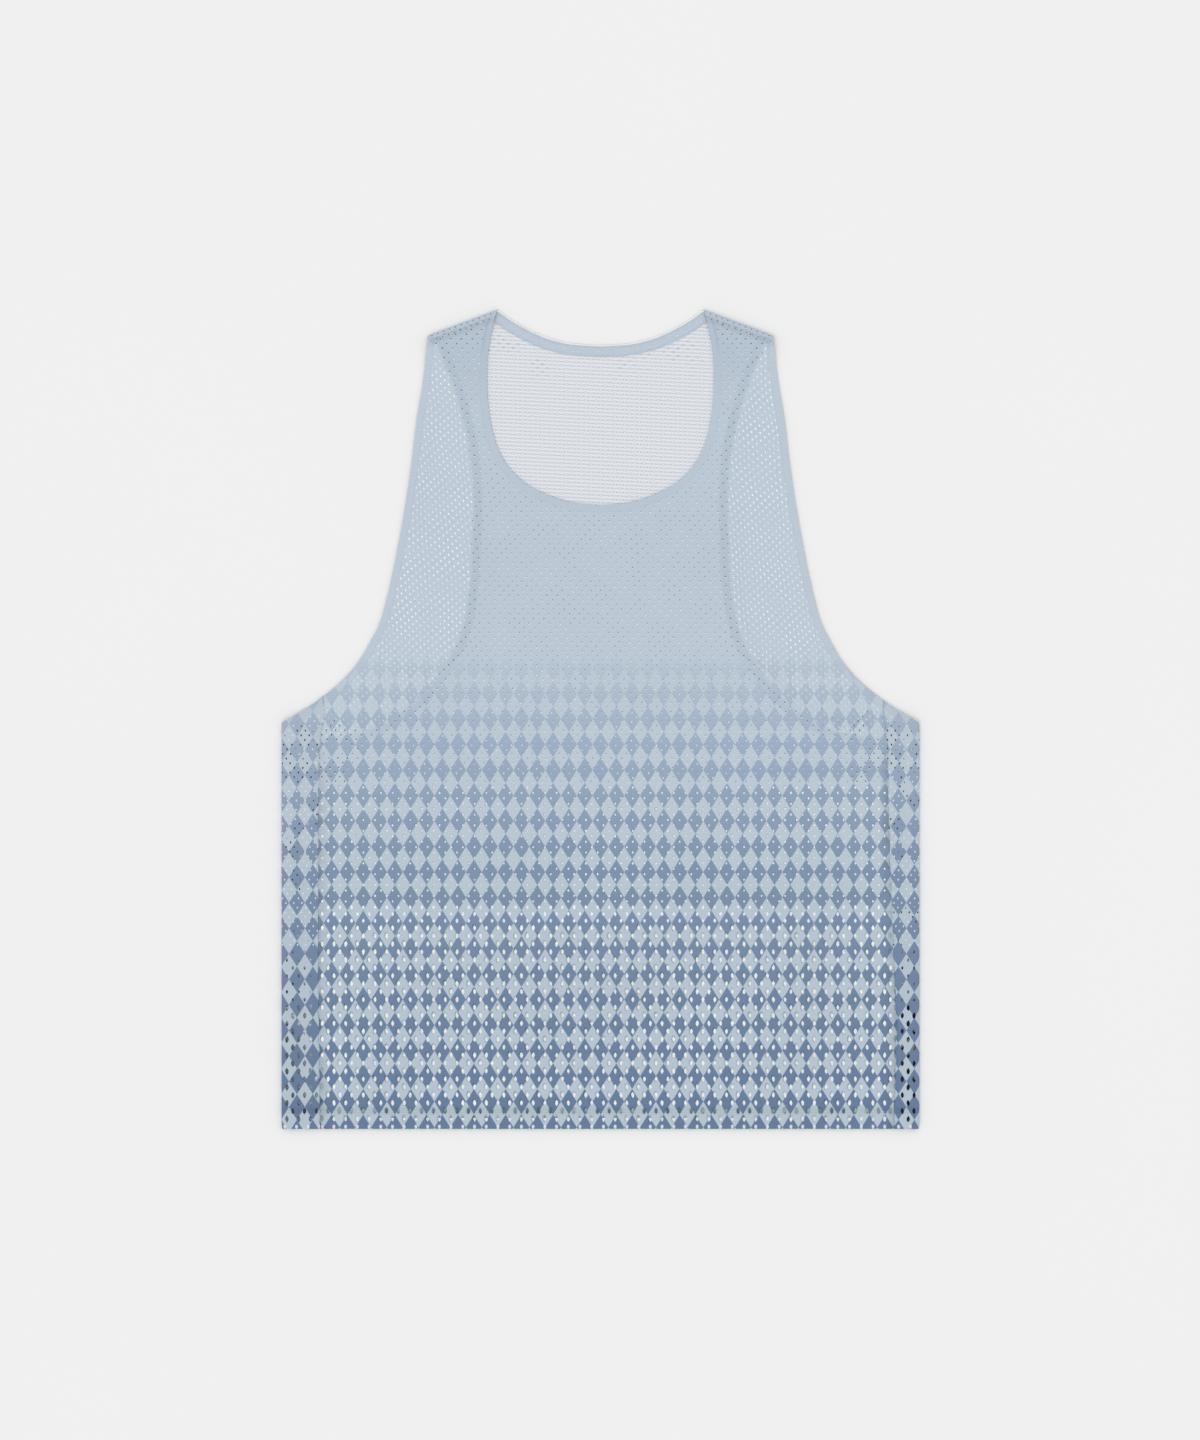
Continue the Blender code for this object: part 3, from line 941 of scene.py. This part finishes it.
def printed(knit, ground, shift):
    """Printed diamonds, whose blue deepens towards the hem."""
    size = (knit.colours.diamond_width, knit.colours.diamond_height)
    dark = diamonds(knit, knit.u + shift, knit.v + shift, *size)
    stops = [(share, linear(*blue)) for share, blue in PRINT_BLUES]
    stops = [(0.0, knit.colours.print_hem), *stops, (1.0, knit.colours.double)]
    blues = knit.ramp((knit.v - HEM_Y) / (PRINT_PALEST - HEM_Y), stops)
    light = knit.mix(knit.step(knit.v, -60.0, -180.0), ground, knit.colours.print_light)
    return knit.mix(dark * knit.step(knit.v, PRINT_TOP, PRINT_FULL), light, blues)


def off_edges(knit, zones):
    """1 above the holes that are cut, and away from the openings."""
    cut_to = top_of(zones)
    return knit.step(knit.v, cut_to, cut_to + 0.5) * knit.step(knit.from_opening, 5.4, 6.2)


def shoulder_dots(knit, shift, offset, ends):
    """A row of open holes beside the shoulder seam."""
    along = abs(knit.u) * SHOULDER_RUN[0] + knit.v * SHOULDER_RUN[1]
    row = dots(knit, along + shift, knit.from_seam + offset, SHOULDER_PITCH, SHOULDER_ROWS, 0.5, 0.6)
    return row * knit.step(knit.v, 284.0, 292.0) * knit.step(knit.from_seam, *ends)


def under_arm(knit):
    """1 in the band below the armholes, where more holes are open."""
    return knit.step(abs(knit.v + 27.0), 30.0, 12.0)


def front_small_holes(knit, colour, slow, patches):
    """Small holes that are drawn. The upper rim of each is in painted shade, and below it shows what is
    behind, with some in painted shade and some in painted light.
    """
    upper = off_edges(knit, FRONT_ZONES)
    leaning = knit.u + knit.v * 0.08 + slow * 14.0
    lit = knit.step(patches, 0.40, 0.62)
    facing_below = over_facing(knit)
    alone = knit.step(knit.within_back, 0.3, -0.3)
    light_dots = dots(knit, leaning, knit.v + 0.5, SMALL_PITCH, SMALL_ROWS, 0.52, 0.9) * upper
    dark_dots = dots(knit, leaning, knit.v - 0.35, SMALL_PITCH, SMALL_ROWS, 0.5, 0.75) * upper
    bright_dots = dots(knit, leaning, knit.v + knit.u * 0.12, ALONE_PITCH, ALONE_ROWS, 0.48, 0.85) * upper
    shoulder = by_shoulder(knit)
    # painted shade: the dots deepen beside the shoulders and over the facing
    depth = shoulder + facing_below * 0.9
    deep = knit.mix(depth, knit.colours.dark_dot, knit.colours.deep_dot)
    colour = knit.mix(light_dots * (0.45 + lit * 0.55) * (1 - alone), colour, knit.colours.light_dot)
    shaded = (1.0 - lit * 0.6) * (1 - facing_below * 0.3) + facing_below * 0.6 + shoulder * 0.25
    colour = knit.mix(dark_dots * shaded * (1 - alone), colour, deep)
    # painted light: where one layer lies alone, its holes are drawn brighter than the floor behind
    above_print = 0.45 + knit.step(knit.v, 20.0, 70.0) * 0.55
    bright_dots = bright_dots * alone * (0.5 + lit * 0.5) * above_print
    colour = knit.mix(bright_dots, colour, knit.colours.bright_dot)
    # painted shade: some holes near the sides and beside the shoulder seam are drawn near-black
    near_side = knit.step(knit.from_seam, 42.0, 20.0) * knit.step(knit.v, 20.0, 0.0)
    gaping = knit.step(patches + under_arm(knit) * 0.12, 0.56, 0.62)
    shaded_open_dots = dark_dots * near_side * gaping * 0.85
    shaded_open_dots = shaded_open_dots + shoulder_dots(knit, 0.0, 0.5, (4.0, 3.0)) * 0.6
    return knit.mix(shaded_open_dots, colour, knit.colours.through), light_dots


def back_small_holes(knit, colour, slow, patches):
    """The same on the back's outside, where few are dark in painted shade: those on the strips and along the
    shoulders.
    """
    leaning = knit.u + knit.v * 0.08 + slow * 14.0
    small = dots(knit, leaning, knit.v, SMALL_PITCH * 0.82, SMALL_ROWS, 0.6, 0.85)
    small = small * off_edges(knit, BACK_ZONES)
    below_shoulders = knit.step(knit.v, 292.0, 284.0)
    colour = knit.mix(small * 0.8 * below_shoulders, colour, knit.colours.light_dot)
    # painted shade: holes on the strips and along the shoulders are drawn near-black
    on_strip = knit.step(abs(knit.u), 226.0, 232.0)
    gaping = knit.step(patches + under_arm(knit) * 0.12, 0.54, 0.60)
    shaded_open_dots = small * gaping * on_strip
    shaded_open_dots = shaded_open_dots + shoulder_dots(knit, 2.4, -0.6, (3.8, 3.4)) * 0.7
    return knit.mix(shaded_open_dots, colour, knit.colours.through), small


def hole_rims(knit, colour, patches):
    """The upper left rim of each cut hole is in shade."""
    for zone, below, size in ((FRONT_ZONES[0], (), 1.0), (FRONT_ZONES[2], FRONT_ZONES[:2], 0.55)):
        base = top_of(below)
        top = base + zone.rows * zone.pitch
        within = knit.step(knit.v, base, base + 0.2) * knit.step(knit.v, top, top - 0.2)
        across = knit.u + LATTICE / 2 + 0.35 * size
        along = knit.v - base - 0.4 * size
        reach = (zone.half_width + 0.35, zone.half_height + 0.4)
        rims = dots(knit, across, along, 2 * LATTICE, zone.pitch, *reach) * within * size
        colour = knit.shade(colour, 1 - rims * (0.16 + knit.step(patches, 0.42, 0.6) * 0.24))
    return colour


def front_creases(knit, colour):
    """The front's shade beside the side seams, round the neck and below the shoulder seams."""
    beside = knit.step(knit.from_seam, 9.0, 0.5) * knit.step(knit.v, 10.0, -70.0)
    bunched = knit.step(knit.noise(knit.vector(knit.u * 0.05, knit.v * 0.09), 1.0, 3.0), 0.36, 0.62)
    colour = knit.shade(colour, 1 - beside * (0.07 + bunched * 0.15))
    crease = knit.step(abs(knit.from_opening - 4.4), 1.4, 0.2) * knit.step(knit.v, 282.0, 296.0)
    below_edge = knit.step(abs(knit.from_seam - 2.6), 3.4, 0.3) * by_shoulder(knit)
    return knit.shade(colour, 1 - crease * 0.1 - below_edge * 0.09)


def printed_face(name, is_front):
    """The outside of the mesh: pale blue above, and a printed diamond repeat that deepens to the hem."""
    knit = Knit(name)
    slow = knit.noise(knit.place, 0.012)
    patches = knit.noise(knit.place, 0.055, 3.0)
    colour = plain_blue(knit, is_front)
    colour = printed(knit, colour, 0.0 if is_front else 4.0)
    if is_front:
        colour, small = front_small_holes(knit, colour, slow, patches)
    else:
        colour = knit.shade(colour, 0.97)
        colour, small = back_small_holes(knit, colour, slow, patches)

    # The hem's fold cuts a row of holes, and the seams and the sewing draw the knit together, with painted
    # shade along the seams and along the top of the turned hem
    from_fold = knit.v - HEM_Y + 1.2
    at_fold = dots(knit, knit.u + LATTICE / 2, from_fold, 2 * LATTICE, FRONT_ZONES[0].pitch, 1.1, 1.9)
    at_fold = at_fold * knit.step(knit.hem_height, 3.4, 3.0) * 0.8
    colour = knit.mix(at_fold, colour, knit.colours.light_dot)
    if is_front:
        colour = hole_rims(knit, colour, patches)
    # painted shade in flecks along the seams
    fleck = knit.noise(knit.vector(knit.u * 0.6, knit.v * 0.35), 1.0, 3.0)
    near_seam = knit.step(knit.from_seam, 1.6, 0.2)
    colour = knit.shade(colour, 1 - near_seam * knit.step(fleck, 0.45, 0.62) * 0.22)
    if is_front:
        colour = front_creases(knit, colour)
    # painted shade along and just above the top of the turned hem
    hem_line = knit.step(abs(knit.hem_height - HEM_DEPTH - 0.2), 0.7, 0.1)
    above = knit.step(abs(knit.hem_height - HEM_DEPTH - 2.7), 2.8, 0.6)
    colour = knit.shade(colour, 1 - hem_line * 0.10 - above * 0.08)
    grain = loops_of(knit)
    mottle = knit.noise(knit.place, 0.9, 3.0)
    colour = knit.shade(colour, 0.962 + mottle * 0.05 + slow * 0.05 + grain * 0.028)
    knit.relief(grain * 0.35 + mottle * 0.3 - small * 0.8, 0.0002)
    return knit.done(colour)


def ringed_white(knit, patches):
    """The white inside of the mesh: rows of small rings, each row on a thin grey line."""
    slant = knit.v + knit.u * 0.05
    row = math.floor(slant / RING_ROWS)
    along = knit.u / RING_PITCH + row % 2 * 0.5
    from_row = (slant / RING_ROWS % 1 - 0.5) * RING_ROWS
    from_ring = (along % 1 - 0.5) * RING_PITCH
    away = (from_ring * from_ring + from_row * from_row) ** 0.5
    wave = knit.node("ShaderNodeMath", {"operation": "COSINE"}, {0: (along - 0.5) * math.tau})
    band = knit.step(abs(from_row) - wave * 0.2, 0.4, 1.1)
    line = knit.step(abs(from_row - wave * 0.12), 0.5, 0.05)
    ring = knit.step(abs(away - 1.1), 0.6, 0.15)
    heart = knit.step(away, 0.85, 0.5)
    colour = knit.mix(band, knit.colours.inside, knit.colours.inside_band)
    colour = knit.mix(line * 0.85, colour, knit.colours.inside_rib)
    colour = knit.shade(colour, 1 - ring * 0.08)
    shaded = knit.step(patches, 0.52, 0.62) * knit.step(knit.v, 258.0, 284.0) * 0.5
    hearts = knit.mix(shaded, knit.colours.inside_band, knit.colours.inside_ring)
    colour = knit.mix(heart, colour, hearts)
    mottle = knit.noise(knit.place, 1.1, 3.0)
    knit.relief(band * 0.6 + mottle * 0.2 - ring * 0.3, 0.00015)
    return knit.shade(colour, 0.975 + mottle * 0.04)


def lit_through(knit, colour, patches):
    """The back's inside where the front or a side strip lies over it.

    Its own turned hem is blue, deepened by painted shade, with painted crescent shadows at its holes. Painted
    shade lies in the side folds. Under the front it is painted lighter and glows (emission), in place of
    light that comes through the front. The turned neck edge's white is painted brighter, as a highlight.
    """
    covered = knit.within_back
    below = knit.step(covered, OPEN + 0.4, OPEN + 0.6)
    # painted light: under the front the inside is drawn brighter
    colour = knit.mix(below * 0.5, colour, knit.colours.bright_dot)
    # the turned hem's own blue, deepened by painted shade, and painted crescent shadows at its holes
    hem_row = knit.step(abs(knit.hem_height - HEM_DEPTH - 1.1), 3.2, 2.4)
    hem_row = hem_row * (0.6 + knit.step(patches, 0.40, 0.55) * 0.35)
    above_row = knit.v - HEM_Y - FIRST_ROW - 1.7
    crescent = dots(knit, knit.u + LATTICE / 2, above_row, 2 * LATTICE, FRONT_ZONES[0].pitch, 1.5, 1.1)
    crescent = crescent * knit.step(knit.hem_height, 12.0, 11.0) * knit.step(patches, 0.36, 0.56)
    hem_blue_in_shade = knit.mix(0.5, knit.colours.deep_dot, knit.colours.through)
    colour = knit.mix(hem_row + crescent * 0.8, colour, hem_blue_in_shade)
    # painted highlight: the turned neck edge's own white, drawn cream and brighter
    rim = knit.step(knit.from_opening, 1.7, 1.2) * knit.step(knit.v, 280.0, 284.0)
    colour = knit.mix(rim, colour, knit.colours.cream)
    # painted shade in the side folds, in patches
    spots = knit.noise(knit.place, 0.045, 2.0)
    in_fold = knit.step(covered, IN_FOLD + 0.6, IN_FOLD + 0.1)
    in_fold = in_fold * knit.step(spots + (knit.v + 270.0) * -0.0012, 0.40, 0.48)
    in_fold = in_fold * (0.6 + knit.step(knit.u, -60.0, 60.0) * 0.4)
    colour = knit.mix(in_fold, colour, knit.colours.through)
    # painted glow: emission under the front stands in for light that comes through it
    lit = knit.shade(colour, below * (1 + knit.step(knit.v, -172.0, -160.0)) * THROUGH_LIGHT)
    knit.feed(knit.shader.inputs["Emission Color"], lit)
    knit.feed(knit.shader.inputs["Emission Strength"], 1.0)
    return colour


def inside_face(name, is_back):
    """The inside of the mesh, which shows in the back's neck, through the holes and nowhere else."""
    knit = Knit(name)
    patches = knit.noise(knit.place, 0.03, 3.0)
    colour = ringed_white(knit, patches)
    if is_back:
        colour = lit_through(knit, colour, patches)
    return knit.done(colour)


def facing_face(name):
    """Smooth knit tape, in fine ribs across it."""
    colours = bpy.context.scene.singlet_colours
    finish = Finish(name, roughness=0.8)
    u, v, _ = finish.parts("cloth")
    place = finish.vector(u, v)
    rib = sine(u * (math.tau / 1.2)) * 0.5 + sine(v * (math.tau / 1.2)) * 0.5
    fleck = finish.step(finish.noise(place, 0.8, 2.0), 0.62, 0.68)
    mottle = finish.noise(place, 0.8, 3.0)
    colour = finish.mix(fleck * 0.7, colours.facing, colours.light_dot)
    colour = finish.shade(colour, 0.95 + mottle * 0.08 + rib * 0.012)
    finish.relief(rib * 0.4 + mottle * 0.4, 0.00018)
    return finish.done(colour)


def cut_edge(name):
    """The white heart of the knit, at the walls of its holes."""
    colours = bpy.context.scene.singlet_colours
    finish = Finish(name)
    u, v, _ = finish.parts("cloth")
    mottle = finish.noise(finish.vector(u, v), 1.4, 2.0)
    heart = finish.mix(0.4, colours.inside_band, colours.single)
    return finish.done(finish.shade(heart, 0.9 + mottle * 0.15))


def thread(name, colour):
    finish = Finish(name, roughness=0.6, gloss=0.35)
    place = finish.node("ShaderNodeTexCoord", output="Object")
    twist = finish.noise(place, 1500.0, 2.0)
    finish.relief(twist, 0.0001)
    return finish.done(finish.shade(colour, 0.9 + twist * 0.2))


# Pieces


def declare(piece, node, flat, area):
    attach(piece, "root")
    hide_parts(node)


def loop_area(loop):
    x, y = loop.T
    return abs(x @ np.roll(y, -1) - y @ np.roll(x, -1)) / 2 * MM * MM


def extent(loop):
    return [float(size) for size in np.ptp(loop, axis=0) * MM]


def millimetres(name, description, default, least=0.0):
    return FloatProperty(name=name, description=description + " (mm)", default=default, min=least)


def paint(name, description, *screen_colour):
    kind = {"subtype": "COLOR", "size": 4, "min": 0.0, "max": 1.0}
    return FloatVectorProperty(name=name, description=description, default=linear(*screen_colour), **kind)


class SingletCloth(bpy.types.PropertyGroup):
    """How the cloth lies."""

    seam_depth: millimetres("Seam depth", "How far a seam draws the cloth down", 0.4)
    pucker_height: millimetres("Pucker height", "Height of the puckers beside a seam", 0.28)
    pucker_length: millimetres("Pucker length", "From pucker to pucker", 13.0)
    hem_ripple: millimetres("Hem ripple", "Height of the ripples along the hem", 0.12)


class SingletColours(bpy.types.PropertyGroup):
    """Colours of the cloth, and the size of the printed repeat."""

    # the sheer knit's blue with painted light and shade: lighter alone over the floor, darker over a second
    # layer or a facing
    double: paint("Two layers", "Plain blue over the back", 188, 201, 213)
    single: paint("One layer", "Plain blue where one layer lies alone", 191, 204, 216)
    over_facing: paint("Over a facing", "Blue where a facing lies below", 175, 188, 202)
    print_light: paint("Print, light", "Light diamonds at the hem", 182, 197, 209)
    print_hem: paint("Print, dark", "Dark diamonds at the hem", 102, 124, 156)
    inside: paint("Inside", "White of the inside", 216, 220, 229)
    inside_band: paint("Inside bands", "Bands between the rows of rings", 230, 233, 235)
    inside_rib: paint("Inside lines", "Lines through the rings", 193, 198, 213)
    inside_ring: paint("Inside holes", "Small holes in shade", 140, 136, 158)
    facing: paint("Facings", "Blue of the facings", 190, 203, 216)
    # painted light: holes and cloth drawn brighter than what lies behind them
    bright_dot: paint("Bright dots", "Holes with light behind them", 250, 252, 252)
    light_dot: paint("Light dots", "Holes over white cloth", 226, 234, 240)
    dark_dot: paint("Dark dots", "Holes in shade", 142, 160, 182)
    # painted shade: holes over a facing, beside the shoulders and in the turned hem
    deep_dot: paint("Deep dots", "Holes over a facing", 104, 122, 146)
    # painted shade: holes and the side folds drawn near-black
    through: paint("Open dots", "Holes with nothing behind", 44, 52, 66)
    # the turned neck edge's own white, drawn brighter as a painted highlight
    cream: paint("Neck edge", "Turned edge of the back neck", 252, 251, 242)
    thread: paint("Thread", "Sewing thread", 186, 200, 214)
    diamond_width: millimetres("Diamond width", "Across the repeat", 12.4, 2.0)
    diamond_height: millimetres("Diamond height", "Along the repeat", 20.0, 2.0)


FLOOR_GREY = (0.882, 0.882, 0.882, 1.0)


class SingletStage(bpy.types.PropertyGroup):
    """Floor, light and camera."""

    floor: FloatVectorProperty(
        name="Floor", description="Its grey", subtype="COLOR", size=4, default=FLOOR_GREY
    )
    frame_height: FloatProperty(
        name="Picture height", description="Height that the picture takes in", default=1.1285, unit="LENGTH"
    )
    lens: FloatProperty(name="Lens", description="Focal length (mm)", default=100.0, min=20.0)
    sky: FloatProperty(name="Sky", description="Strength of the even light", default=0.85, min=0.0)
    lamp: FloatProperty(name="Lamp", description="Strength of the upper left light", default=0.5, min=0.0)


def openings(*tables):
    """The edges of openings on both sides."""
    return [edge for table in tables for edge in both_sides(smooth_curve(table, EDGE_STEP))]


def front_measures(points, _placed, _from_edge):
    """Flat place and distance from a seam, then distances from openings, into the back and from the hem."""
    back = whole(back_on_floor_half)
    armholes = both_sides(smooth_curve(BACK_ARMHOLE, EDGE_STEP / 2))
    within = least_distance(points, armholes) * np.where(inside(points, back) | (points[:, 1] > 310), 1, -1)
    neck = inside(points, whole(neck_opening_half))
    within = np.where(neck, FAR_IN, within)
    yield points[:, 0], points[:, 1], seam_distance(points)
    from_opening = least_distance(points, openings(FRONT_NECKLINE, FRONT_ARMHOLE))
    yield from_opening, within, points[:, 1] - HEM_Y


def neck_opening_half(_side):
    """Half of the neck opening in the back, with the space above it."""
    return joined(np.array([(0, 400.0), (80.7, 400.0), NECK_POINT]), smooth_curve(BACK_NECKLINE, EDGE_STEP))


def side_seams():
    return [seam_edge(RIGHT), seam_edge(LEFT) * (-1, 1)]


def seam_distance(plan):
    return np.minimum(least_distance(plan, side_seams()), np.abs(below_shoulder(plan) - SHOULDER_SEAM))


def back_measures(points, placed, _from_edge):
    """The same for the back, with where it lies in place of the distance into it."""
    half_roll = ROLL_LENGTH / 2
    past_side = np.abs(points[:, 0]) > SIDE_FOLD + half_roll
    on_top = past_side | (below_shoulder(points) < ROLL_RADIUS - half_roll)
    from_own = least_distance(points, openings(BACK_NECKLINE, BACK_ARMHOLE))
    from_opening = np.where(on_top, least_distance(placed[:, :2], openings(FRONT_ARMHOLE)), from_own)
    from_seam = np.where(on_top, seam_distance(placed[:, :2]), 50.0)
    yield points[:, 0], points[:, 1], from_seam
    covered = inside(placed[:, :2], FRONT_LOOP) & (points[:, 1] < top_of(FRONT_ZONES) + 5)
    seams = np.where(points[:, 0] < 0, seam_x(points[:, 1], LEFT), seam_x(points[:, 1], RIGHT))
    in_fold = (np.abs(points[:, 0]) > seams) & (points[:, 1] < UNDERARM[1])
    yield from_opening, np.select([covered, in_fold], [COVERED, IN_FOLD], OPEN), points[:, 1] - HEM_Y


def facing_measures(points, _placed, from_edge):
    yield points[:, 0], points[:, 1], from_edge
    yield from_edge, from_edge, from_edge


class SINGLET_OT_front(bpy.types.Operator):
    """Makes the front panel, with its lattice of holes"""

    bl_idname = "singlet.front"
    bl_label = "Front panel"

    def execute(self, context):
        loop = whole(front_half)
        sheet = ringed_sheet(loop)
        lines, holes = knit_rows(FRONT_ZONES, NECK_POINT[1])
        for y in lines:
            cut_along(sheet, (0, y), (0, 1))
        for column in range(-50, 51):
            cut_along(sheet, (column * LATTICE, 0), (1, 0))
        open_holes(sheet, lines, holes, 0)
        under, top = inside_face("mesh_inside_front", False), printed_face("mesh_print_front", True)
        finishes = [under, top, cut_edge("mesh_edge_front")]
        piece = cloth_piece("front_cloth", sheet, loop, laid_front, front_measures, finishes)
        declare(piece, "front_panel", extent(loop), loop_area(loop))
        return {"FINISHED"}


class SINGLET_OT_back(bpy.types.Operator):
    """Makes the back panel, which rolls over to the front at the sides and shoulders"""

    bl_idname = "singlet.back"
    bl_label = "Back panel"

    def execute(self, context):
        loop = whole(back_pattern_half)
        sheet = ringed_sheet(loop)
        lines, holes = knit_rows(BACK_ZONES, NECK_POINT[1] + 8)
        for y in lines:
            cut_along(sheet, (0, y), (0, 1))
        for column in range(-54, 55):
            cut_along(sheet, (column * LATTICE, 0), (1, 0))
        for side in (LEFT, RIGHT):
            for over in np.linspace(0, ROLL_LENGTH, ROLL_STEPS + 1):
                fold = NECK_POINT + (over - ROLL_RADIUS) * SHOULDER_OUT
                cut_along(sheet, fold * (side, 1), SHOULDER_OUT * (side, 1))
                if over:
                    cut_along(sheet, (side * (SIDE_FOLD + over), 0), (1, 0))
            for column in range(1, 8):
                cut_along(sheet, (side * (SIDE_FOLD + ROLL_LENGTH + column * LATTICE), 0), (1, 0))
        open_holes(sheet, lines, holes, 1)
        under, top = printed_face("mesh_print_back", False), inside_face("mesh_inside_back", True)
        finishes = [under, top, cut_edge("mesh_edge_back")]
        piece = cloth_piece("back_cloth", sheet, loop, laid_back, back_measures, finishes, 0)
        declare(piece, "back_panel", extent(loop), loop_area(loop))
        return {"FINISHED"}


def laid_tape(on_back):
    """How a tape's points are laid: on the back, or on the floor with a lift near the folds."""

    def lay(points, share, from_edge):
        if on_back:
            below = CLOTH + REST_GAP / 2
        else:
            below = np.maximum(underside_at(points) - CLOTH - REST_GAP, 0)
        return np.column_stack([points, below + drawn_in(share, from_edge) * TAPE_WALL])

    return lay


class SINGLET_OT_facings(bpy.types.Operator):
    """Makes the smooth tapes inside the neck and the armholes"""

    bl_idname = "singlet.facings"
    bl_label = "Facings"

    def execute(self, context):
        finishes = [facing_face("facing_under"), facing_face("facing_top"), facing_face("facing_edge")]
        for name, edges, on_back in facing_pieces(FINE_STEP):
            loop = loop_of(edges)
            tape = strip_sheet(edges)
            piece = cloth_piece(name + "_tape", tape, loop, laid_tape(on_back), facing_measures, finishes)
            length = float(np.linalg.norm(np.diff(edges[1], axis=0), axis=1).sum() * MM)
            area = loop_area(loop)
            declare(piece, name, (max(LEAST_SHEET, area / length), length), area)
        return {"FINISHED"}


def on_top_of_front(curve, pitch):
    """Places for stitches on the front's outer face, and the run there."""
    points, runs = spaced(curve, pitch)
    far = np.full(len(points), 10.0)
    return laid_front(points, np.ones(len(points)), far), np.column_stack([runs, np.zeros(len(runs))])


class SINGLET_OT_sewing(bpy.types.Operator):
    """Sews the hem, both openings and the back neck's tape"""

    bl_idname = "singlet.sewing"
    bl_label = "Sewing"

    def execute(self, context):
        blue = thread("thread_blue", context.scene.singlet_colours.thread)
        hem = np.array([(-seam_x(HEM_Y, LEFT) + 2, HEM_Y + 11.2), (seam_x(HEM_Y, RIGHT) - 2, HEM_Y + 11.2)])
        sewn("hem_stitches", [on_top_of_front(straight(*hem), 2.6)], blue, (2.1, 0.4, 0.3))
        rows = []
        for table, cloth_side in ((FRONT_NECKLINE, 1), (FRONT_ARMHOLE, -1)):
            curve = moved_left(smooth_curve(table), cloth_side * 5.4)
            curve = started(curve, below_shoulder, SHOULDER_SEAM + 1.5)
            curve = curve[curve[:, 0] < seam_x(0, RIGHT) - 3]
            for half in both_sides(curve):
                rows.append(on_top_of_front(half, 2.6))
        sewn("opening_stitches", rows, blue, (2.1, 0.4, 0.3))
        rows = []
        for inset in (2.1, 8.3):
            curve = started(moved_left(smooth_curve(BACK_NECKLINE), inset), below_shoulder, 3.2)
            points, runs = spaced(joined(curve, mirrored(curve)), 2.4)
            height = np.full(len(points), CLOTH + REST_GAP / 2 + TAPE_WALL)
            rows.append((np.column_stack([points, height]), np.column_stack([runs, np.zeros(len(runs))])))
        sewn("neck_tape_stitches", rows, blue, (1.9, 0.4, 0.3))
        return {"FINISHED"}


class SINGLET_OT_stage(bpy.types.Operator):
    """Makes the floor, the light and the camera"""

    bl_idname = "singlet.stage"
    bl_label = "Stage"

    def execute(self, context):
        stage, scene = context.scene.singlet_stage, context.scene
        sheet = bmesh.new()
        bmesh.ops.create_grid(sheet, x_segments=4, y_segments=4, size=25.0)
        bmesh.ops.translate(sheet, verts=sheet.verts[:], vec=(0, 0, -0.0002))
        mesh = bpy.data.meshes.new("floor")
        sheet.to_mesh(mesh)
        sheet.free()
        finish = Finish("floor_paper", roughness=0.95, gloss=0.0)
        place = finish.node("ShaderNodeTexCoord", output="Object")
        fibres = 0.995 + finish.noise(place, 3.0) * 0.01
        mesh.materials.append(finish.done(finish.shade(stage.floor, fibres)))
        make_object("floor", mesh)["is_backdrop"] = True

        sun = bpy.data.lights.new("lamp", "SUN")
        sun.energy = stage.lamp
        sun.angle = math.radians(50)
        lamp = bpy.data.objects.new("lamp", sun)
        lamp.rotation_euler = (math.radians(20), math.radians(-20), 0)
        scene.collection.objects.link(lamp)
        scene.world = bpy.data.worlds.new("sky")
        scene.world.use_nodes = True
        sky = scene.world.node_tree.nodes["Background"]
        sky.inputs["Color"].default_value = (1, 1, 1, 1)
        sky.inputs["Strength"].default_value = stage.sky
        scene.view_settings.view_transform = "Standard"

        lens = bpy.data.cameras.new("camera")
        lens.lens = stage.lens
        lens.clip_end = 50.0
        camera = bpy.data.objects.new("camera", lens)
        distance = stage.frame_height * lens.lens / lens.sensor_width
        camera.location = (-0.0004, -0.0008, distance + 0.003)
        scene.collection.objects.link(camera)
        scene.camera = camera
        return {"FINISHED"}


class SINGLET_PT_panel(bpy.types.Panel):
    """Shows the settings of the cloth, the colours and the stage, and a button for each step"""

    bl_label = "Laid singlet"
    bl_idname = "SINGLET_PT_panel"
    bl_space_type = "VIEW_3D"
    bl_region_type = "UI"
    bl_category = "Singlet"

    def draw(self, context):
        for group_name, kind in GROUPS.items():
            box = self.layout.box()
            for name in kind.__annotations__:
                box.prop(getattr(context.scene, group_name), name)
        for operator in OPERATORS:
            self.layout.operator(operator.bl_idname)


GROUPS = {"singlet_cloth": SingletCloth, "singlet_colours": SingletColours, "singlet_stage": SingletStage}
OPERATORS = (SINGLET_OT_back, SINGLET_OT_facings, SINGLET_OT_front, SINGLET_OT_sewing, SINGLET_OT_stage)


def register():
    for kind in (*GROUPS.values(), *OPERATORS, SINGLET_PT_panel):
        bpy.utils.register_class(kind)
    for name, group in GROUPS.items():
        setattr(bpy.types.Scene, name, PointerProperty(type=group))


def unregister():
    for name in GROUPS:
        delattr(bpy.types.Scene, name)
    for kind in (SINGLET_PT_panel, *OPERATORS, *GROUPS.values()):
        bpy.utils.unregister_class(kind)


def main():
    register()
    bpy.ops.singlet.back()
    bpy.ops.singlet.facings()
    bpy.ops.singlet.front()
    bpy.ops.singlet.sewing()
    bpy.ops.singlet.stage()
    boxes = {"cad": CAD_BOX, "visual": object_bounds()}
    {name: [list(corner) for corner in box] for name, box in boxes.items()}


if __name__ == "__main__":
    main()
